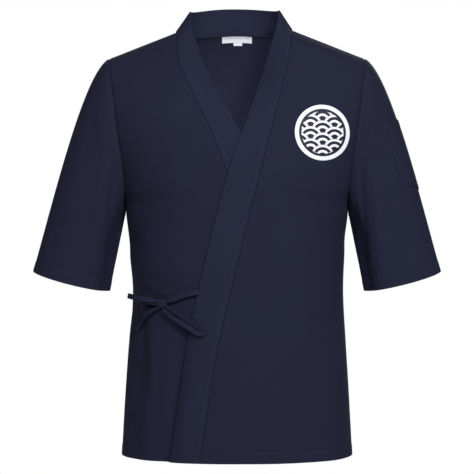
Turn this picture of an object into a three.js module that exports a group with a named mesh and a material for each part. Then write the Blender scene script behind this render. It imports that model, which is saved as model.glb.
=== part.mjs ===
// A cook's wrap jacket: short set-in sleeves, two crossed fronts edged with one long neck band, and a
// bow tied at the wearer's right side. It is filled out as if worn, with nobody in it.
// Millimetres, +Z up. The wearer faces -Y and the wearer's left is +X. The origin lies inside the neck, midway
// between the two armholes, in the plane of the shoulder seams and just under the height of the neck seam.
import * as THREE from "three";

// Thickness of each kind of cloth, and the gap left between two pieces at a seam.
const CLOTH = 1.6;
const BAND_CLOTH = 2.4;
const TIE_CLOTH = 1.6;
const LABEL_CLOTH = 1.0;
const GAP = 0.3;

// Neck: where the neck band starts on each shoulder seam, and the lowest place of the back neck.
const NECK = { right: -103, left: 93 };
const BACK_NECK_LEVEL = 0.938;
// The free edge of the wearer's left front lies on top, this far off the front below it.
const WRAP_LIFT = 4.6;
// The lift ends this far past the free edge below it, over this breadth, and between these two heights.
const WRAP_BEYOND = 4;
const WRAP_FADE = 60;
const WRAP_TOP = { from: -185, to: -110 };
// Colours of the cloth and of the woven labels.
const NAVY = 0x27293f;
const NAVY_BAND = 0x292b42;
const WHITE = 0xe4e3e8;

// The body, one row for each level from the hem (0) past the armpit (0.5) to the shoulder seam (1).
// level, then edgeX, edgeZ, edgeFront and edgeBack: the side seam, and above the armpit the armhole seam.
// centreZ, front and back: the line down the middle. turn: how far round a level goes from the middle to
// its edge, in degrees.
const BODY = [
  [0.0, 195, -709, 0, 0, -709, 134, 124, 90],
  [0.13, 189, -600, 0, 0, -600, 131, 119, 90],
  [0.25, 183, -500, 0, 0, -500, 128, 111, 90],
  [0.335, 180, -430, 0, 0, -430, 127, 107, 90],
  [0.42, 183, -360, 0, 0, -360, 129, 110, 90],
  [0.5, 188, -297, 0, 0, -297, 131, 115, 90],
  [0.62, 187, -262, 48, 50, -248, 132, 120, 74],
  [0.68, 190, -222, 64, 67, -200, 130, 124, 66],
  [0.735, 196, -180, 70, 74, -152, 123, 125, 62],
  [0.79, 202, -138, 68, 73, -102, 109, 121, 62],
  [0.84, 207, -100, 60, 64, -57, 90, 112, 62],
  [0.89, 212, -70, 46, 49, -14, 65, 93, 62],
  [0.94, 215, -49, 27, 29, 24, 36, 63, 62],
  [1.0, 217, -39, 0, 0, 47, 0, 0, 62],
].map(([level, edgeX, edgeZ, edgeFront, edgeBack, centreZ, front, back, turn]) => {
  return { level, edgeX, edgeZ, edgeFront, edgeBack, centreZ, front, back, turn };
});
const ARMPIT_LEVEL = 0.5;
const SQUARENESS = 2.25;
const FLAT_MIDDLE = 0.4;
const SIDE_BLEND = 0.12;
// Half the gap at the shoulder seam, as a share of the way up from the armpit over the chest.
const SHOULDER_GAP = GAP / 2 / 450;
// A level's length from the middle to its edge is about this much more than its edge's x.
const LEVEL_LENGTH = 1.25;
// Where the folds fade out: between these levels, and near the armpit over this share of the width.
const FOLDS_FADE = { from: ARMPIT_LEVEL, to: 0.66 };
const ARMPIT_CALM = { from: 0.38, to: ARMPIT_LEVEL, share: 0.2 };

// Seams between the fronts and their bands, as seen from the front, with x growing towards the front's own
// side. The wearer's left front, on top, hides the lower part of the one under it.
const TOP_SEAM = [
  { z: -709, x: -60 },
  { z: -622, x: -47 },
  { z: -528, x: -32 },
  { z: -439, x: -12 },
  { z: -327, x: 14.6 },
  { z: -232, x: 38.5 },
  { z: -128, x: 65.5 },
  { z: -74, x: 78.5 },
  { z: -42, x: 86.5 },
  { z: -20, x: 91 },
  { z: 8, x: NECK.left },
];
const UNDER_SEAM = [
  { z: -709, x: -66 },
  { z: -622, x: -58 },
  { z: -528, x: -50 },
  { z: -439, x: -38 },
  { z: -330, x: -14 },
  { z: -260, x: 8 },
  { z: -216, x: 24 },
  { z: -173, x: 41 },
  { z: -119, x: 66 },
  { z: -91, x: 79 },
  { z: -68, x: 89.5 },
  { z: -38, x: 99.5 },
  { z: 8, x: -NECK.right },
];
// How each band lies, from the hem up to the shoulder seam: its width seen from the front, how far its free
// edge leans back from the chest, and how far that edge rises round the neck.
const TOP_STAND = [
  { level: 0.0, width: 51, back: 0, rise: 0 },
  { level: 0.5, width: 53, back: 0, rise: 0 },
  { level: 0.66, width: 51, back: 0, rise: 0 },
  { level: 0.735, width: 44, back: 6, rise: 1 },
  { level: 0.79, width: 40, back: 14, rise: 2 },
  { level: 0.84, width: 36, back: 21, rise: 4 },
  { level: 0.89, width: 33.5, back: 22, rise: 6 },
  { level: 0.94, width: 26, back: 13, rise: 14 },
  { level: 1.0, width: 21.9, back: 0, rise: 25 },
];
const UNDER_STAND = [
  { level: 0.0, width: 51, back: 0, rise: 0 },
  { level: 0.5, width: 52, back: 0, rise: 0 },
  { level: 0.66, width: 50, back: 0, rise: 0 },
  { level: 0.735, width: 46, back: 6, rise: 1 },
  { level: 0.79, width: 42, back: 14, rise: 2 },
  { level: 0.84, width: 40, back: 21, rise: 4 },
  { level: 0.89, width: 35.5, back: 22, rise: 6 },
  { level: 0.94, width: 25.5, back: 13, rise: 14 },
  { level: 1.0, width: 24.2, back: 0, rise: 25 },
];
const BAND_CURL = 1.3;
// Behind the neck the band stands up to this line, from one shoulder over the middle to the other. It leans
// in this far, and its top is shorter than its seam by a share.
const COLLAR_TOP = { right: 41, middle: 53, left: 43.5 };
const COLLAR_LEAN = 9;
const COLLAR_NARROWING = 0.235;

// Sleeve: the cuff's oval, and how the cloth leaves the armhole and reaches the cuff, above and below.
const CUFF = { x: 280, y: -10, z: -416, halfWidth: 67, halfDepth: 53, slope: 14.4, frontDrop: 5 };
const SLEEVE_TOP = { leave: [130, 0, -60], reach: [95, 0, -330] };
const SLEEVE_UNDER = { leave: [27, 0, -136], reach: [27, 0, -136] };
const SLEEVE_FULLNESS = 22;
const SLEEVE_FOLDS_START = { from: 0.02, to: 0.25 };

// Broad folds of the body: a trough along a line seen from the front or the back. depth above 0 goes in.
const BODY_FOLDS = [
  { face: -1, x0: -176, z0: -438, x1: -150, z1: -446, width: 46, depth: 7 },
  { face: -1, x0: -168, z0: -470, x1: -164, z1: -600, width: 15, depth: 6 },
  { face: -1, x0: -112, z0: -500, x1: -132, z1: -700, width: 20, depth: 4 },
  { face: -1, x0: 176, z0: -340, x1: 118, z1: -262, width: 20, depth: 4 },
  { face: -1, x0: -178, z0: -350, x1: -122, z1: -262, width: 20, depth: 4 },
  { face: -1, x0: 150, z0: -520, x1: 158, z1: -705, width: 24, depth: -4 },
  { face: 1, x0: -182, z0: -320, x1: -96, z1: -250, width: 22, depth: 5 },
  { face: 1, x0: 182, z0: -325, x1: 104, z1: -240, width: 22, depth: 5 },
  { face: 1, x0: -60, z0: -420, x1: -76, z1: -709, width: 26, depth: 5 },
  { face: 1, x0: 74, z0: -400, x1: 96, z1: -709, width: 24, depth: 5 },
  { face: 1, x0: 8, z0: -430, x1: 2, z1: -709, width: 30, depth: -4 },
];
// Broad folds of a sleeve: around runs 0 at the top past 0.25 in front, along runs 0 at the armhole to 1.
const SLEEVE_FOLDS = [
  { around0: 0.3, along0: 0.16, around1: 0.42, along1: 0.66, width: 0.04, depth: 5 },
  { around0: 0.7, along0: 0.16, around1: 0.6, along1: 0.7, width: 0.045, depth: 5 },
  { around0: 0.2, along0: 0.3, around1: 0.27, along1: 0.95, width: 0.05, depth: 3 },
  { around0: 0.83, along0: 0.3, around1: 0.78, along1: 0.95, width: 0.05, depth: 3 },
];

// Pen pocket on the wearer's left sleeve.
const PEN_POCKET = {
  topFront: { around: 0.137, along: 0.335 },
  topBack: { around: 0.018, along: 0.405 },
  bottomFront: { around: 0.158, along: 0.59 },
  bottomBack: { around: 0.018, along: 0.665 },
};
// Labels inside the back neck.
const NECK_LABEL = { width: 55, height: 16, below: 0.6 };
const POCKET_LIFT = 0.5;
const SIZE_TAB = { x: 1.5, width: 14, height: 6 };

// Ties: strips of folded cloth. x and z as seen from the front, off the height over the cloth, tilt how
// far the strip stands up on its edge, in degrees. gathered names the ends drawn together in the knot.
const TIE_WIDTH = 9;
const TIE_CROWN = 0.3;
const TIE_STEPS = 14;
const KNOT_GATHER = 0.5;
const GATHER_LENGTH = 0.3;
const KNOT = {
  x: -122.5,
  z: -451,
  off: 5.4,
  halfWidth: 8,
  halfHeight: 8,
  halfDepth: 4.5,
  sides: 14,
  rings: 10,
};
const TIES = {
  tie_outer: {
    tilt: 0,
    gathered: [1],
    path: [
      { x: -61, z: -431, off: 5.8 },
      { x: -69, z: -432.5, off: 6.4 },
      { x: -81, z: -435.5, off: 7.0 },
      { x: -96, z: -440.5, off: 6.6 },
      { x: -106, z: -445, off: 6.2 },
      { x: -115.6, z: -448.8, off: 5.8 },
    ],
  },
  tie_side: {
    tilt: 0,
    gathered: [1],
    path: [
      { x: -172, z: -448, off: 1.3 },
      { x: -160, z: -448, off: 1.6 },
      { x: -147, z: -449.5, off: 2.2 },
      { x: -129.4, z: -451.9, off: 4.1 },
    ],
  },
  tie_loop_left: {
    tilt: 50,
    gathered: [0, 1],
    path: [
      { x: -129.8, z: -453.5, off: 8.2 },
      { x: -138, z: -451.5, off: 10 },
      { x: -147, z: -451, off: 11 },
      { x: -152.5, z: -455, off: 12 },
      { x: -152, z: -464, off: 11.5 },
      { x: -146, z: -467, off: 10.5 },
      { x: -138, z: -463, off: 9.3 },
      { x: -128, z: -458, off: 7.6 },
    ],
  },
  tie_loop_right: {
    tilt: 28,
    gathered: [0, 1],
    path: [
      { x: -116.4, z: -455.5, off: 6.4 },
      { x: -102.5, z: -462.3, off: 7.5 },
      { x: -86, z: -472.8, off: 8.5 },
      { x: -65, z: -485, off: 9 },
      { x: -55, z: -491.3, off: 9 },
      { x: -58.5, z: -499.3, off: 9 },
      { x: -70, z: -493.2, off: 9 },
      { x: -90.9, z: -481, off: 8.5 },
      { x: -107.4, z: -470.5, off: 7.5 },
      { x: -120, z: -459.9, off: 6.4 },
    ],
  },
  tie_tail_upper: {
    tilt: 10,
    gathered: [0],
    path: [
      { x: -128.5, z: -447.1, off: 8 },
      { x: -142, z: -445, off: 14.5 },
      { x: -156, z: -443, off: 18 },
      { x: -170.5, z: -440, off: 20 },
    ],
  },
  tie_tail_lower: {
    tilt: 0,
    gathered: [0],
    path: [
      { x: -126.5, z: -459.5, off: 3.8 },
      { x: -138, z: -462, off: 3.6 },
      { x: -150, z: -468, off: 3.6 },
      { x: -161, z: -477.5, off: 4.2 },
      { x: -167, z: -488, off: 5.5 },
      { x: -170, z: -498, off: 7.5 },
    ],
  },
};

// Reads a table smoothly between its rows, without overshoot: a cubic whose slope at each row is the
// harmonic mean of its two neighbours' slopes, or nothing at a peak.
function smoothTable(rows, key) {
  const at = rows.map((row) => row[key]);
  const names = Object.keys(rows[0]).filter((name) => name !== key);
  const last = rows.length - 1;
  const slopes = names.map((name) => {
    const steps = at.slice(1).map((value, i) => (rows[i + 1][name] - rows[i][name]) / (value - at[i]));
    return at.map((value, i) => {
      if (i === 0) return steps[0];
      if (i === last) return steps[last - 1];
      const product = steps[i - 1] * steps[i];
      return product > 0 ? (2 * product) / (steps[i - 1] + steps[i]) : 0;
    });
  });
  return (value) => {
    let i = 0;
    while (i < last - 1 && value > at[i + 1]) i++;
    const span = at[i + 1] - at[i];
    const s = THREE.MathUtils.clamp((value - at[i]) / span, 0, 1);
    const ease = s * s * (3 - 2 * s);
    const result = {};
    names.forEach((name, n) => {
      const rise = rows[i + 1][name] - rows[i][name];
      const bend = s * (1 - s) * span * (slopes[n][i] * (1 - s) - slopes[n][i + 1] * s);
      result[name] = rows[i][name] + rise * ease + bend;
    });
    return result;
  };
}

const bodyRow = smoothTable(BODY, "level");
const topSeamAt = smoothTable(TOP_SEAM, "z");
const underSeamAt = smoothTable(UNDER_SEAM, "z");
const topStandAt = smoothTable(TOP_STAND, "level");
const underStandAt = smoothTable(UNDER_STAND, "level");
const power = (value) => Math.pow(Math.max(value, 0), 2 / SQUARENESS);

// A point of the body before folds. face is -1 in front and 1 behind; across runs from -1 at the wearer's
// right edge to 1 at the left one. Past a seam the surface goes on into the other face.
function bodyShape(face, across, level) {
  if (level > 1) return bodyShape(-face, across, 2 - level);
  if (Math.abs(across) > 1) return bodyShape(-face, Math.sign(across) * 2 - across, level);
  const row = bodyRow(Math.max(level, 0));
  const full = THREE.MathUtils.degToRad(row.turn);
  const angle = Math.abs(across) * full;
  const out = power(Math.sin(angle)) / power(Math.sin(full));
  const forward = (power(Math.cos(angle)) - power(Math.cos(full))) / (1 - power(Math.cos(full)));
  const edge = face < 0 ? row.edgeFront : row.edgeBack;
  const depth = face < 0 ? row.front : row.back;
  const fromMiddle = out < FLAT_MIDDLE ? (out * out + FLAT_MIDDLE ** 2) / (2 * FLAT_MIDDLE) : out;
  return new THREE.Vector3(
    Math.sign(across) * row.edgeX * out,
    face * (edge + (depth - edge) * forward),
    row.edgeZ + (row.centreZ - row.edgeZ) * (1 - fromMiddle),
  );
}

// The direction out of the cloth, from two short steps over the surface.
const STEP = 1e-3;
function bodyNormal(face, across, level) {
  const armhole = level > ARMPIT_LEVEL;
  const out = armhole ? Math.min(across + STEP, 1) : across + STEP;
  const back = armhole ? Math.max(across - STEP, -1) : across - STEP;
  const alongRow = bodyShape(face, out, level).sub(bodyShape(face, back, level));
  const low = Math.max(level - STEP, 0);
  const upwards = bodyShape(face, across, level + STEP).sub(bodyShape(face, across, low));
  return alongRow.cross(upwards).multiplyScalar(-face).normalize();
}

// Depth of a table of troughs at a place: each fades out with the distance from its line.
function troughs(folds, u, v, names) {
  let depth = 0;
  for (const fold of folds) {
    const [u0, v0, u1, v1] = names.map((name) => fold[name]);
    const length = Math.hypot(u1 - u0, v1 - v0);
    const dot = ((u - u0) * (u1 - u0) + (v - v0) * (v1 - v0)) / (length * length);
    const s = THREE.MathUtils.clamp(dot, 0, 1);
    const away = Math.hypot(u - u0 - s * (u1 - u0), v - v0 - s * (v1 - v0));
    depth += fold.depth * Math.exp(-((away / fold.width) ** 2));
  }
  return depth;
}
// Troughs fade out towards the shoulders, and beside the armpit before they reach the seam.
function bodyTroughs(face, place, across, level) {
  const folds = BODY_FOLDS.filter((fold) => fold.face === face);
  const belowChest = 1 - THREE.MathUtils.smoothstep(level, FOLDS_FADE.from, FOLDS_FADE.to);
  const inside = THREE.MathUtils.smoothstep(1 - Math.abs(across), 0, ARMPIT_CALM.share);
  const nearArmpit = THREE.MathUtils.smoothstep(level, ARMPIT_CALM.from, ARMPIT_CALM.to);
  const share = belowChest * THREE.MathUtils.lerp(1, inside, nearArmpit);
  return troughs(folds, place.x, place.z, ["x0", "z0", "x1", "z1"]) * share;
}

// A point of the cloth at a height off the body's surface. At the side seams both faces share a depth.
function bodyPoint(face, across, level, off) {
  const place = bodyShape(face, across, level);
  const sideways = Math.min(1, (1 - Math.abs(across)) / SIDE_BLEND);
  const faces = [-1, 1].map((each) => bodyTroughs(each, place, across, level));
  const own = face < 0 ? faces[0] : faces[1];
  const depth = THREE.MathUtils.lerp((faces[0] + faces[1]) / 2, own, sideways);
  const nearest = level >= 1 - SHOULDER_GAP ? 1 : level;
  return place.addScaledVector(bodyNormal(face, across, nearest), off - depth);
}

// The place across a level where x passes a line x(z).
function acrossAt(face, level, lineX) {
  let low = -1;
  let high = 1;
  for (let i = 0; i < 40; i++) {
    const middle = (low + high) / 2;
    const place = bodyShape(face, middle, level);
    if (place.x < lineX(place.z)) low = middle;
    else high = middle;
  }
  return (low + high) / 2;
}
// The place on a face seen at x and z: its across and its level.
function placeAt(face, x, z) {
  let low = 0;
  let high = 1;
  for (let i = 0; i < 40; i++) {
    const middle = (low + high) / 2;
    const across = acrossAt(face, middle, () => x);
    if (bodyShape(face, across, middle).z < z) low = middle;
    else high = middle;
  }
  return { across: acrossAt(face, low, () => x), level: low };
}

// A closed wall between two grids of points: grid[i][j] outside and inside, with rims at the open edges.
// The columns close on themselves where around is true. Each four-sided cell is cut along its shorter
// diagonal, the same one outside and inside.
function wall(outer, inner, around = false) {
  const rows = outer.length;
  const columns = outer[0].length;
  const half = rows * columns;
  const index = [];
  const corners = [...outer.flat(), ...inner.flat()];
  const quad = (a, b, c, d) => {
    const first = corners[a % half].distanceTo(corners[c % half]);
    const second = corners[b % half].distanceTo(corners[d % half]);
    if (first <= second) index.push(a, b, c, a, c, d);
    else index.push(a, b, d, b, c, d);
  };
  const outside = (i, j) => i * columns + (j % columns);
  const inside = (i, j) => half + outside(i, j);
  const lastColumn = around ? columns : columns - 1;
  for (let i = 0; i < rows - 1; i++) {
    for (let j = 0; j < lastColumn; j++) {
      quad(outside(i, j), outside(i, j + 1), outside(i + 1, j + 1), outside(i + 1, j));
      quad(inside(i, j), inside(i + 1, j), inside(i + 1, j + 1), inside(i, j + 1));
    }
  }
  for (let j = 0; j < lastColumn; j++) {
    quad(inside(0, j), inside(0, j + 1), outside(0, j + 1), outside(0, j));
    quad(outside(rows - 1, j), outside(rows - 1, j + 1), inside(rows - 1, j + 1), inside(rows - 1, j));
  }
  for (let i = 0; i < rows - 1 && !around; i++) {
    quad(outside(i, 0), outside(i + 1, 0), inside(i + 1, 0), inside(i, 0));
    const end = columns - 1;
    quad(inside(i, end), inside(i + 1, end), outside(i + 1, end), outside(i, end));
  }
  const geometry = new THREE.BufferGeometry().setFromPoints(corners);
  geometry.setIndex(index);
  geometry.computeVertexNormals();
  return geometry;
}
// Turns the columns round, for a grid that runs the other way.
const mirrored = (grid) => grid.map((row) => [...row].reverse());
const grid = (levels, places, point) => levels.map((level) => places.map((place) => point(place, level)));
const spread = (count, from, to) => {
  return Array.from({ length: count + 1 }, (_, i) => from + ((to - from) * i) / count);
};

// The levels shared by all body pieces, so that neighbours meet point to point at their seams.
const LOWER_LEVELS = spread(12, 0, ARMPIT_LEVEL);
const UPPER_LEVELS = spread(14, ARMPIT_LEVEL, 1);
const LEVELS = [...LOWER_LEVELS, ...UPPER_LEVELS.slice(1)];

const jacket = new THREE.Group();
const cloth = new THREE.MeshStandardMaterial({ color: NAVY, roughness: 0.85, metalness: 0 });
const bandCloth = new THREE.MeshStandardMaterial({ color: NAVY_BAND, roughness: 0.82, metalness: 0 });
const labelCloth = new THREE.MeshStandardMaterial({ color: WHITE, roughness: 0.6, metalness: 0 });
function add(name, geometry, material) {
  const mesh = new THREE.Mesh(geometry, material);
  mesh.name = name;
  jacket.add(mesh);
  return mesh;
}

// Half a gap at the side seam, as a share of a level's width.
const sideGap = (level) => GAP / 2 / (bodyRow(level).edgeX * LEVEL_LENGTH);
const belowShoulder = (level) => Math.min(level, 1 - SHOULDER_GAP);
const edgeAcross = (level) => (level > ARMPIT_LEVEL ? 1 : 1 - sideGap(level));

// Back: from side seam to side seam, with the neck cut out in a shallow curve.
const neckStart = acrossAt(1, 1, () => NECK.right);
const neckEnd = acrossAt(1, 1, () => NECK.left);
function backTop(share) {
  const inNeck = Math.max(0, 1 - THREE.MathUtils.mapLinear(share, neckStart, neckEnd, -1, 1) ** 2);
  return 1 - (1 - BACK_NECK_LEVEL) * Math.sqrt(inNeck);
}
function backPoint(share, level, off) {
  const toTop = THREE.MathUtils.mapLinear(level, ARMPIT_LEVEL, 1, ARMPIT_LEVEL, backTop(share));
  const raised = level <= ARMPIT_LEVEL ? level : toTop;
  const across = share * edgeAcross(raised);
  return bodyPoint(1, across, belowShoulder(raised), off);
}
const BACK_SHARES = [
  ...spread(6, -1, neckStart),
  ...spread(10, neckStart, neckEnd).slice(1),
  ...spread(6, neckEnd, 1).slice(1),
];
const backSheet = (off) => grid(LEVELS, BACK_SHARES, (share, level) => backPoint(share, level, off));
const backOutside = backSheet(0);
const backInside = backSheet(-CLOTH);
add("back", wall(mirrored(backOutside), mirrored(backInside)), cloth);

// Fronts. side is 1 for the wearer's left front, which lies on top, and -1 for the one below it.
const seamX = (side) => (z) => side * (side > 0 ? topSeamAt : underSeamAt)(z).x;
function wrapLift(side, place, level) {
  if (side < 0) return 0;
  const underEdge = underStandAt(level).width - underSeamAt(place.z).x + WRAP_BEYOND;
  const overUnder = 1 - THREE.MathUtils.smoothstep(place.x, underEdge, underEdge + WRAP_FADE);
  const belowNeck = 1 - THREE.MathUtils.smoothstep(place.z, WRAP_TOP.from, WRAP_TOP.to);
  return WRAP_LIFT * overUnder * belowNeck;
}
function frontPoint(side, share, level, off) {
  const low = belowShoulder(level);
  const seam = acrossAt(-1, low, (z) => seamX(side)(z) + side * GAP * 0.5);
  const across = THREE.MathUtils.lerp(seam, side * edgeAcross(low), share);
  return bodyPoint(-1, across, low, off + wrapLift(side, bodyShape(-1, across, low), low));
}
// The band: a strip from its seam to its free edge, lying on the chest and standing up round the neck.
function bandPoint(side, share, level) {
  const stand = (side > 0 ? topStandAt : underStandAt)(level);
  const place = acrossAt(-1, level, (z) => seamX(side)(z) - side * (GAP * 0.5 + stand.width * share));
  const flat = bodyShape(-1, place, level);
  const point = bodyPoint(-1, place, level, wrapLift(side, flat, level));
  const lean = share ** BAND_CURL;
  point.y += stand.back * lean;
  point.z += stand.rise * share;
  return point;
}
// The same strip round the back of the neck, turn from -1 to 1 across it.
function collarPoint(turn, share) {
  const across = THREE.MathUtils.mapLinear(turn, -1, 1, neckStart, neckEnd);
  const seam = bodyPoint(1, across, Math.min(backTop(across), 1 - SHOULDER_GAP), 0);
  const end = turn < 0 ? COLLAR_TOP.right : COLLAR_TOP.left;
  const top = THREE.MathUtils.lerp(COLLAR_TOP.middle, end, turn ** 2);
  return new THREE.Vector3(
    seam.x * (1 - COLLAR_NARROWING * share),
    seam.y - COLLAR_LEAN * share * (1 - Math.abs(turn) ** 3),
    THREE.MathUtils.lerp(seam.z + GAP, top, share),
  );
}

// The thickness of a strip: each point moved in along the strip's own slope.
function inset(point, share, level, depth, across = 1) {
  const low = Math.max(level - STEP, 0);
  const alongRow = point(Math.min(share + STEP, 1), level).sub(point(Math.max(share - STEP, 0), level));
  const upwards = point(share, Math.min(level + STEP, 1 - SHOULDER_GAP)).sub(point(share, low));
  return point(share, level).addScaledVector(alongRow.cross(upwards).normalize(), -depth * across);
}

const FRONT_SHARES = spread(12, 0, 1);
const BAND_SHARES = spread(3, 0, 1);
for (const [side, name] of [[1, "left"], [-1, "right"]]) {
  const turned = side > 0 ? (rows) => rows : mirrored;
  const front = (off) => {
    return turned(grid(LEVELS, FRONT_SHARES, (share, level) => frontPoint(side, share, level, off)));
  };
  add("front_" + name, wall(front(0), front(-CLOTH)), cloth);
  const point = (share, level) => bandPoint(side, share, belowShoulder(level));
  const strip = (depth) => {
    return grid(LEVELS, BAND_SHARES, (share, level) => inset(point, share, level, depth, -side));
  };
  const turnedBand = side > 0 ? mirrored : (rows) => rows;
  add("band_" + name, wall(turnedBand(strip(0)), turnedBand(strip(BAND_CLOTH))), bandCloth);
}
{
  const turns = spread(16, -1, 1);
  const point = (turn, share) => collarPoint(turn * 2 - 1, share);
  const strip = (depth) =>
    BAND_SHARES.map((share) => turns.map((turn) => inset(point, (turn + 1) / 2, share, depth, 1)));
  add("band_back", wall(strip(0), strip(BAND_CLOTH)), bandCloth);
}

// Sleeves: each runs from the armhole's own points to the cuff's oval.
const sleeveStart = (around) => (around <= 0.5 ? bodyShape(-1, 1, 1 - around) : bodyShape(1, 1, around));
function sleeveShape(around, along) {
  const turn = around - Math.floor(around);
  const angle = turn * 2 * Math.PI;
  const start = sleeveStart(turn);
  start.x += GAP;
  const slope = THREE.MathUtils.degToRad(CUFF.slope);
  const end = new THREE.Vector3(
    CUFF.x + CUFF.halfWidth * Math.cos(angle) * Math.cos(slope),
    CUFF.y - CUFF.halfDepth * Math.sin(angle),
    CUFF.z + CUFF.halfWidth * Math.cos(angle) * Math.sin(slope) - CUFF.frontDrop * Math.sin(angle),
  );
  const top = (1 + Math.cos(angle)) / 2;
  const mix = (name) => {
    return new THREE.Vector3(...SLEEVE_UNDER[name]).lerp(new THREE.Vector3(...SLEEVE_TOP[name]), top);
  };
  const leave = mix("leave");
  leave.y -= SLEEVE_FULLNESS * Math.sin(angle);
  const s = along;
  return start
    .multiplyScalar((1 + 2 * s) * (1 - s) ** 2)
    .addScaledVector(leave, s * (1 - s) ** 2)
    .addScaledVector(end, s * s * (3 - 2 * s))
    .addScaledVector(mix("reach"), -s * s * (1 - s));
}
function sleevePoint(around, along, off) {
  const round = sleeveShape(around + STEP, along).sub(sleeveShape(around - STEP, along));
  const near = Math.max(along - STEP, 0);
  const far = Math.min(along + STEP, 1);
  const outwards = sleeveShape(around, far).sub(sleeveShape(around, near));
  const fade = THREE.MathUtils.smoothstep(along, SLEEVE_FOLDS_START.from, SLEEVE_FOLDS_START.to);
  const depth = troughs(SLEEVE_FOLDS, around, along, ["around0", "along0", "around1", "along1"]) * fade;
  return sleeveShape(around, along).addScaledVector(round.cross(outwards).normalize(), off - depth);
}
const toRight = (point) => point.multiply(new THREE.Vector3(-1, 1, 1));
const AROUND = spread(28, 0, 1).slice(0, -1);
const ALONG = spread(10, 0, 1);
for (const [name, place] of [["left", (point) => point], ["right", toRight]]) {
  const turned = name === "left" ? (rows) => rows : mirrored;
  const sleeve = (off) => {
    return turned(grid(ALONG, AROUND, (around, along) => place(sleevePoint(around, along, off))));
  };
  add("sleeve_" + name, wall(sleeve(0), sleeve(-CLOTH), true), cloth);
}

// Pen pocket, on the outer front of the wearer's left sleeve.
{
  const mix = (share, height, name) => {
    const top = THREE.MathUtils.lerp(PEN_POCKET.topFront[name], PEN_POCKET.topBack[name], share);
    const bottom = THREE.MathUtils.lerp(PEN_POCKET.bottomFront[name], PEN_POCKET.bottomBack[name], share);
    return THREE.MathUtils.lerp(bottom, top, height);
  };
  const patch = (off) =>
    grid(spread(6, 0, 1), spread(6, 0, 1), (share, height) =>
      sleevePoint(mix(share, height, "around"), mix(share, height, "along"), off),
    );
  add("pen_pocket", wall(patch(POCKET_LIFT + CLOTH), patch(POCKET_LIFT)), cloth);
}

// Labels, one under the other inside the back neck, each laid on the panel's own inner facets.
const lastRow = LEVELS.length - 1;
const middleColumn = (BACK_SHARES.length - 1) / 2;
const rowHeight = backInside[lastRow][middleColumn].distanceTo(backInside[lastRow - 1][middleColumn]);
function onGrid(sheet, row, column) {
  const i = Math.floor(row);
  const j = Math.floor(column);
  const near = sheet[i][j].clone().lerp(sheet[i][j + 1], column - j);
  const far = sheet[i + 1][j].clone().lerp(sheet[i + 1][j + 1], column - j);
  return near.lerp(far, row - i);
}
function label(name, x, width, drop, height) {
  const middle = backInside[lastRow][middleColumn].x;
  const columnWidth = backInside[lastRow][middleColumn + 1].x - middle;
  const columns = spread(6, x - width / 2, x + width / 2).map(
    (place) => middleColumn + (place - middle) / columnWidth,
  );
  const rows = spread(2, drop + height, drop).map((place) => lastRow - place / rowHeight);
  const sheet = (off) =>
    grid(rows, columns, (column, row) => {
      const point = onGrid(backInside, row, column);
      const inwards = point.clone().sub(onGrid(backOutside, row, column)).normalize();
      return point.addScaledVector(inwards, off);
    });
  add(name, wall(sheet(GAP + LABEL_CLOTH), sheet(GAP)), labelCloth);
}
label("neck_label", 0, NECK_LABEL.width, NECK_LABEL.below, NECK_LABEL.height);
label("size_tab", SIZE_TAB.x, SIZE_TAB.width, NECK_LABEL.below + NECK_LABEL.height + GAP, SIZE_TAB.height);

// Ties: each strip follows its path, its width turned by tilt from lying on the cloth to standing.
function onFront(x, z, off) {
  const place = placeAt(-1, x, z);
  return {
    point: bodyPoint(-1, place.across, place.level, off),
    normal: bodyNormal(-1, place.across, place.level),
  };
}
function strip({ path, tilt, gathered }) {
  const spots = path.map((spot) => onFront(spot.x, spot.z, spot.off));
  const line = new THREE.CatmullRomCurve3(spots.map((spot) => spot.point));
  const lean = new THREE.CatmullRomCurve3(spots.map((spot) => spot.normal));
  const sheet = (lift) =>
    spread(TIE_STEPS, 0, 1).map((t) => {
      const tangent = line.getTangent(t);
      const flat = new THREE.Vector3().crossVectors(lean.getPoint(t), tangent).normalize();
      const broad = flat.applyAxisAngle(tangent, THREE.MathUtils.degToRad(tilt));
      const out = new THREE.Vector3().crossVectors(tangent, broad).normalize();
      const nearest = Math.min(...gathered.map((end) => Math.abs(end - t)));
      const spreadOut = THREE.MathUtils.smoothstep(nearest, 0, GATHER_LENGTH);
      const width = TIE_WIDTH * THREE.MathUtils.lerp(KNOT_GATHER, 1, spreadOut);
      return [-1, 0, 1].map((side) =>
        line
          .getPoint(t)
          .addScaledVector(broad, (side * width) / 2)
          .addScaledVector(out, lift + (side === 0 ? TIE_CROWN : 0)),
      );
    });
  return wall(mirrored(sheet(TIE_CLOTH / 2)), mirrored(sheet(-TIE_CLOTH / 2)));
}
for (const [name, tie] of Object.entries(TIES)) add(name, strip(tie), cloth);
{
  const spot = onFront(KNOT.x, KNOT.z, KNOT.off);
  const geometry = new THREE.SphereGeometry(1, KNOT.sides, KNOT.rings);
  geometry.scale(KNOT.halfWidth, KNOT.halfHeight, KNOT.halfDepth);
  const knot = add("tie_knot", geometry, cloth);
  knot.position.copy(spot.point);
  knot.up.set(0, 0, 1);
  knot.lookAt(spot.point.clone().add(spot.normal));
}

export default jacket;
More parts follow.
